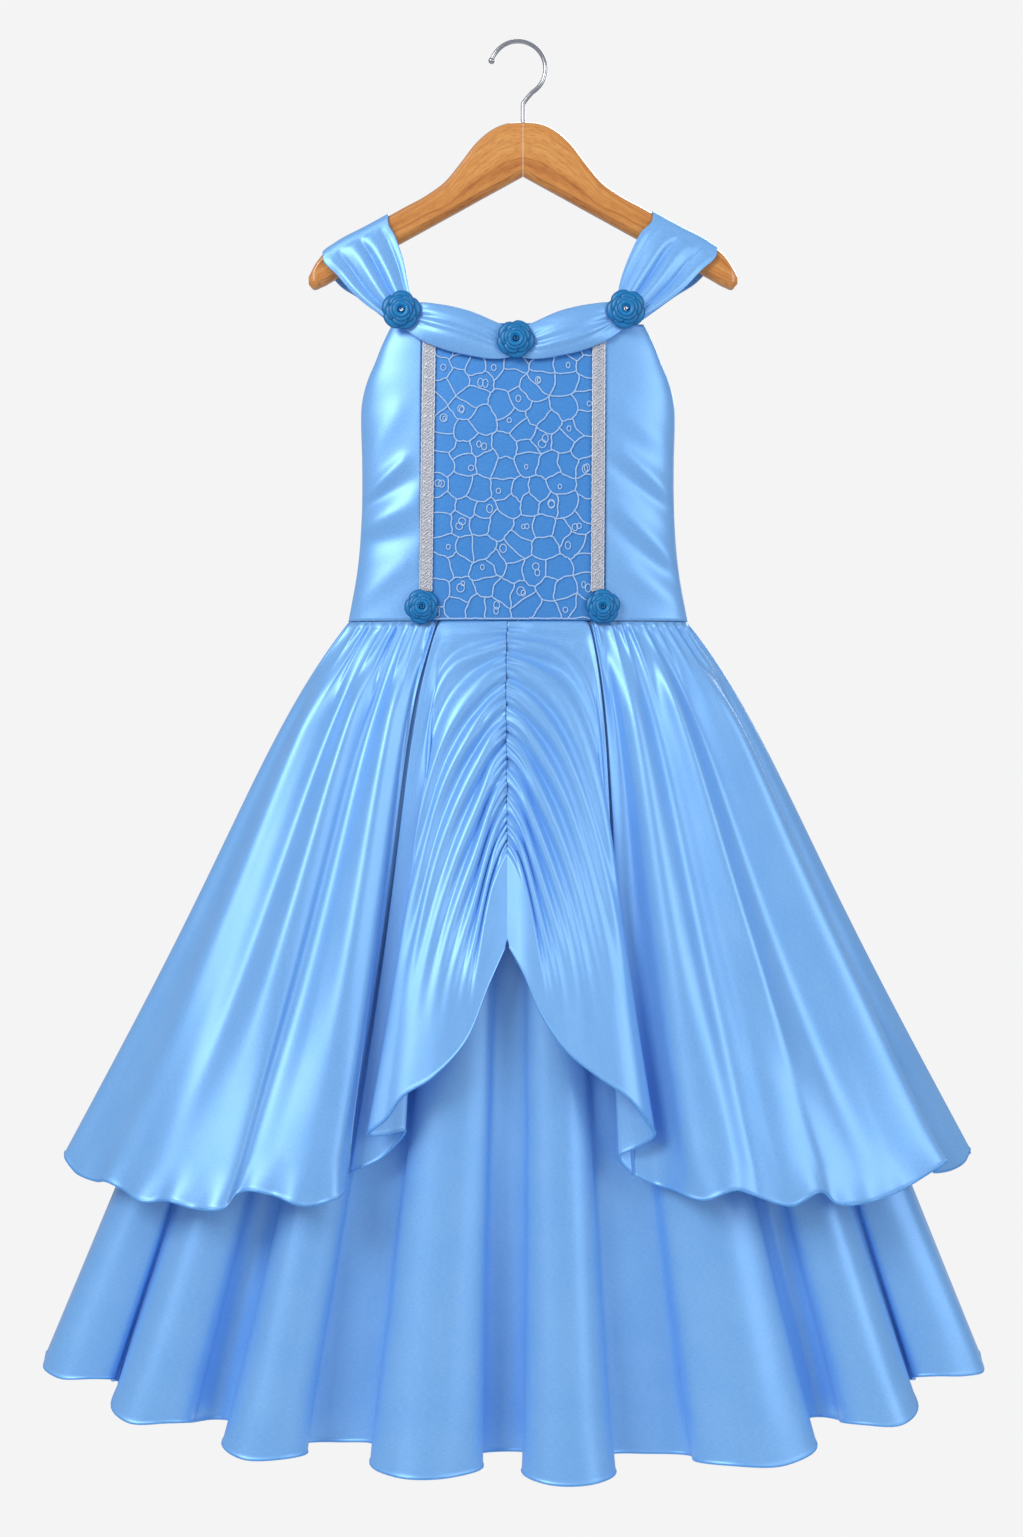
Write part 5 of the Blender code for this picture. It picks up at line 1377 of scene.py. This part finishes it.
LEFT_BIG_FOLDS = [
    BigFold(0.95, 0.022, 4.0, 30.0, 150.0),
    BigFold(0.885, 0.026, 6.0, 36.0, 190.0),
    BigFold(0.80, 0.026, 6.0, 42.0, 210.0),
    BigFold(0.715, 0.026, 6.5, 40.0, 220.0),
    BigFold(0.63, 0.024, 6.0, 36.0, 200.0),
    BigFold(0.545, 0.024, 6.0, 36.0, 190.0),
    BigFold(0.46, 0.022, 5.5, 30.0, 170.0),
    BigFold(0.385, 0.020, 5.0, 28.0, 150.0),
    BigFold(0.315, 0.018, 4.5, 24.0, 120.0),
]
RIGHT_BIG_FOLDS = [
    BigFold(0.965, 0.020, 4.0, 30.0, 140.0),
    BigFold(0.905, 0.026, 6.5, 34.0, 200.0),
    BigFold(0.82, 0.026, 6.0, 40.0, 210.0),
    BigFold(0.735, 0.025, 6.0, 42.0, 220.0),
    BigFold(0.655, 0.024, 6.5, 38.0, 210.0),
    BigFold(0.565, 0.024, 6.0, 36.0, 200.0),
    BigFold(0.485, 0.022, 5.5, 30.0, 170.0),
    BigFold(0.405, 0.020, 5.0, 28.0, 150.0),
    BigFold(0.33, 0.018, 4.5, 24.0, 130.0),
]


def pucker_arc(radius):
    """One fold's run, as shares across and down the drape: it leaves the seam at a height of
    1 - radius, runs outwards, turns, and ends on the hem at a share of radius."""
    power = np.interp(radius, *zip(*ARC_SHAPES))
    first = np.linspace(0.0, 0.5 ** (1 / power), 81)
    second = (1 - first**power) ** (1 / power)
    across = np.concatenate([first, second[-2::-1]])
    up = np.concatenate([second, first[-2::-1]])
    return radius * across, 1.0 - radius * up


def shirred(radii, length, folds, seed):
    """Height of the drape's folds at each row's radius and length from the seam: big hooked folds,
    smaller puckers between them, and the fine shirring where the elastic pulls."""
    chance = np.random.RandomState(seed)
    radii = radii[:, None]
    total = np.zeros(length.shape)
    for fold in folds:
        middle = fold.radius + 0.010 * np.sin(length / 38.0 + fold.radius * 9)
        grow = np.clip(length / fold.peak, 0.0, 1.0)
        fall = np.clip(1 - (length - fold.peak) / fold.reach, 0.0, 1.0)
        shape = lobe(radii, middle, fold.width * (0.62 + 0.5 * np.clip(length / 90.0, 0.0, 1.4)))
        total += fold.depth * shape * (0.45 + 0.55 * grow) * fall * fall * (3 - 2 * fall)
    edges = np.linspace(1.0, 1.0 - PUCKER_SHARE, PUCKERS * 2 + 1)
    edges[1:-1] += chance.uniform(-0.25, 0.25, PUCKERS * 2 - 1) * PUCKER_SHARE / (PUCKERS * 2)
    for top, low in zip(edges, edges[1:]):
        full = 3.2 * chance.uniform(0.4, 1.0)
        long = chance.uniform(16.0, 60.0)
        middle, half = (top + low) / 2, (top - low) / 2
        ridge = np.clip(1 - ((radii - middle) / half) ** 2, 0.0, 1.0) ** 0.8
        fade = np.clip(1 - length / long, 0.0, 1.0)
        total += full * ridge * fade * fade * (3 - 2 * fade)
    pitch = PUCKER_SHARE / 38
    fine = 1.2 * np.cos(2 * math.pi * (radii / pitch + 0.3 * np.sin(radii * 40))) * np.exp(-length / 6.0)
    total += fine * np.clip((radii - 0.29) / 0.02, 0.0, 1.0)
    return total


Drape = namedtuple("Drape", "node hem side folds seed cut half_length")
DRAPES = [
    Drape("overskirt_drape_left", LEFT_DRAPE_HEM, -1, LEFT_BIG_FOLDS, 61, (0.15, 0.46), 140.0),
    Drape("overskirt_drape_right", RIGHT_DRAPE_HEM, 1, RIGHT_BIG_FOLDS, 62, (0.15, 0.46), 156.0),
]
for drape in DRAPES:
    steps = PUCKERS * ROWS_A_PUCKER
    radii = 1.0 - PUCKER_SHARE * np.linspace(0.0, 1.0, steps + 1)
    radii = np.concatenate([radii, (1.0 - PUCKER_SHARE) * np.linspace(0.97, 0.05, 30)])
    wanted = np.linspace(0.0, 1.0, DRAPE_COLUMNS + 1) ** 1.25
    rows, lengths = [], []
    for radius in radii:
        across, down = pucker_arc(radius)
        calm, hem = calmed(drape.hem, across), flowing(drape.hem, across)
        waist = waist_from_seam(calm[:, 3], drape.half_length, drape.side)
        waist[0, 0] = calm[0, 0] = hem[0, 0] = CENTRE_SEAM_X + drape.side * half_gap
        run = hung(waist, calm, hem, down, DRAPE_GROWTH)
        length = np.concatenate([[0.0], np.cumsum(np.linalg.norm(np.diff(run, axis=0), axis=1))])
        roll = np.array(HEM_STEPS) * min(1.0, 0.06 * length[-1])
        places = np.concatenate([wanted * (length[-1] - roll[0] - min(2.0, 0.1 * length[-1])), length[-1] - roll])
        rows.append(np.stack([np.interp(places, length, part) for part in run.T], axis=1))
        lengths.append(places)
    grid, lengths = np.array(rows), np.array(lengths)
    facing = grid if drape.side > 0 else grid[:, ::-1]
    normal = outward(facing)
    normal = normal if drape.side > 0 else normal[:, ::-1]
    normal[..., 0] *= np.clip(lengths / 12.0, 0.0, 1.0)
    height = shirred(radii, lengths, drape.folds, drape.seed)
    to_hem = lengths[:, -1:] - lengths
    height = height * np.clip((to_hem + 4.0) / 40.0, 0.0, 1.0) * np.clip((1.0 - radii[:, None]) / 0.006, 0.0, 1.0)
    grid = grid + normal * height[..., None]
    wall = np.full(grid.shape[:2], 0.5)
    wall[:, -len(HEM_WALLS):] = np.array(HEM_WALLS)[None, :]
    if drape.side < 0:
        grid, wall = grid[:, ::-1], wall[:, ::-1]
    piece = sheet_of_cloth("satin_" + drape.node, grid, drape.cut, CLOTH_AND_HEM, drape.node, wall, HEM_ROLL)
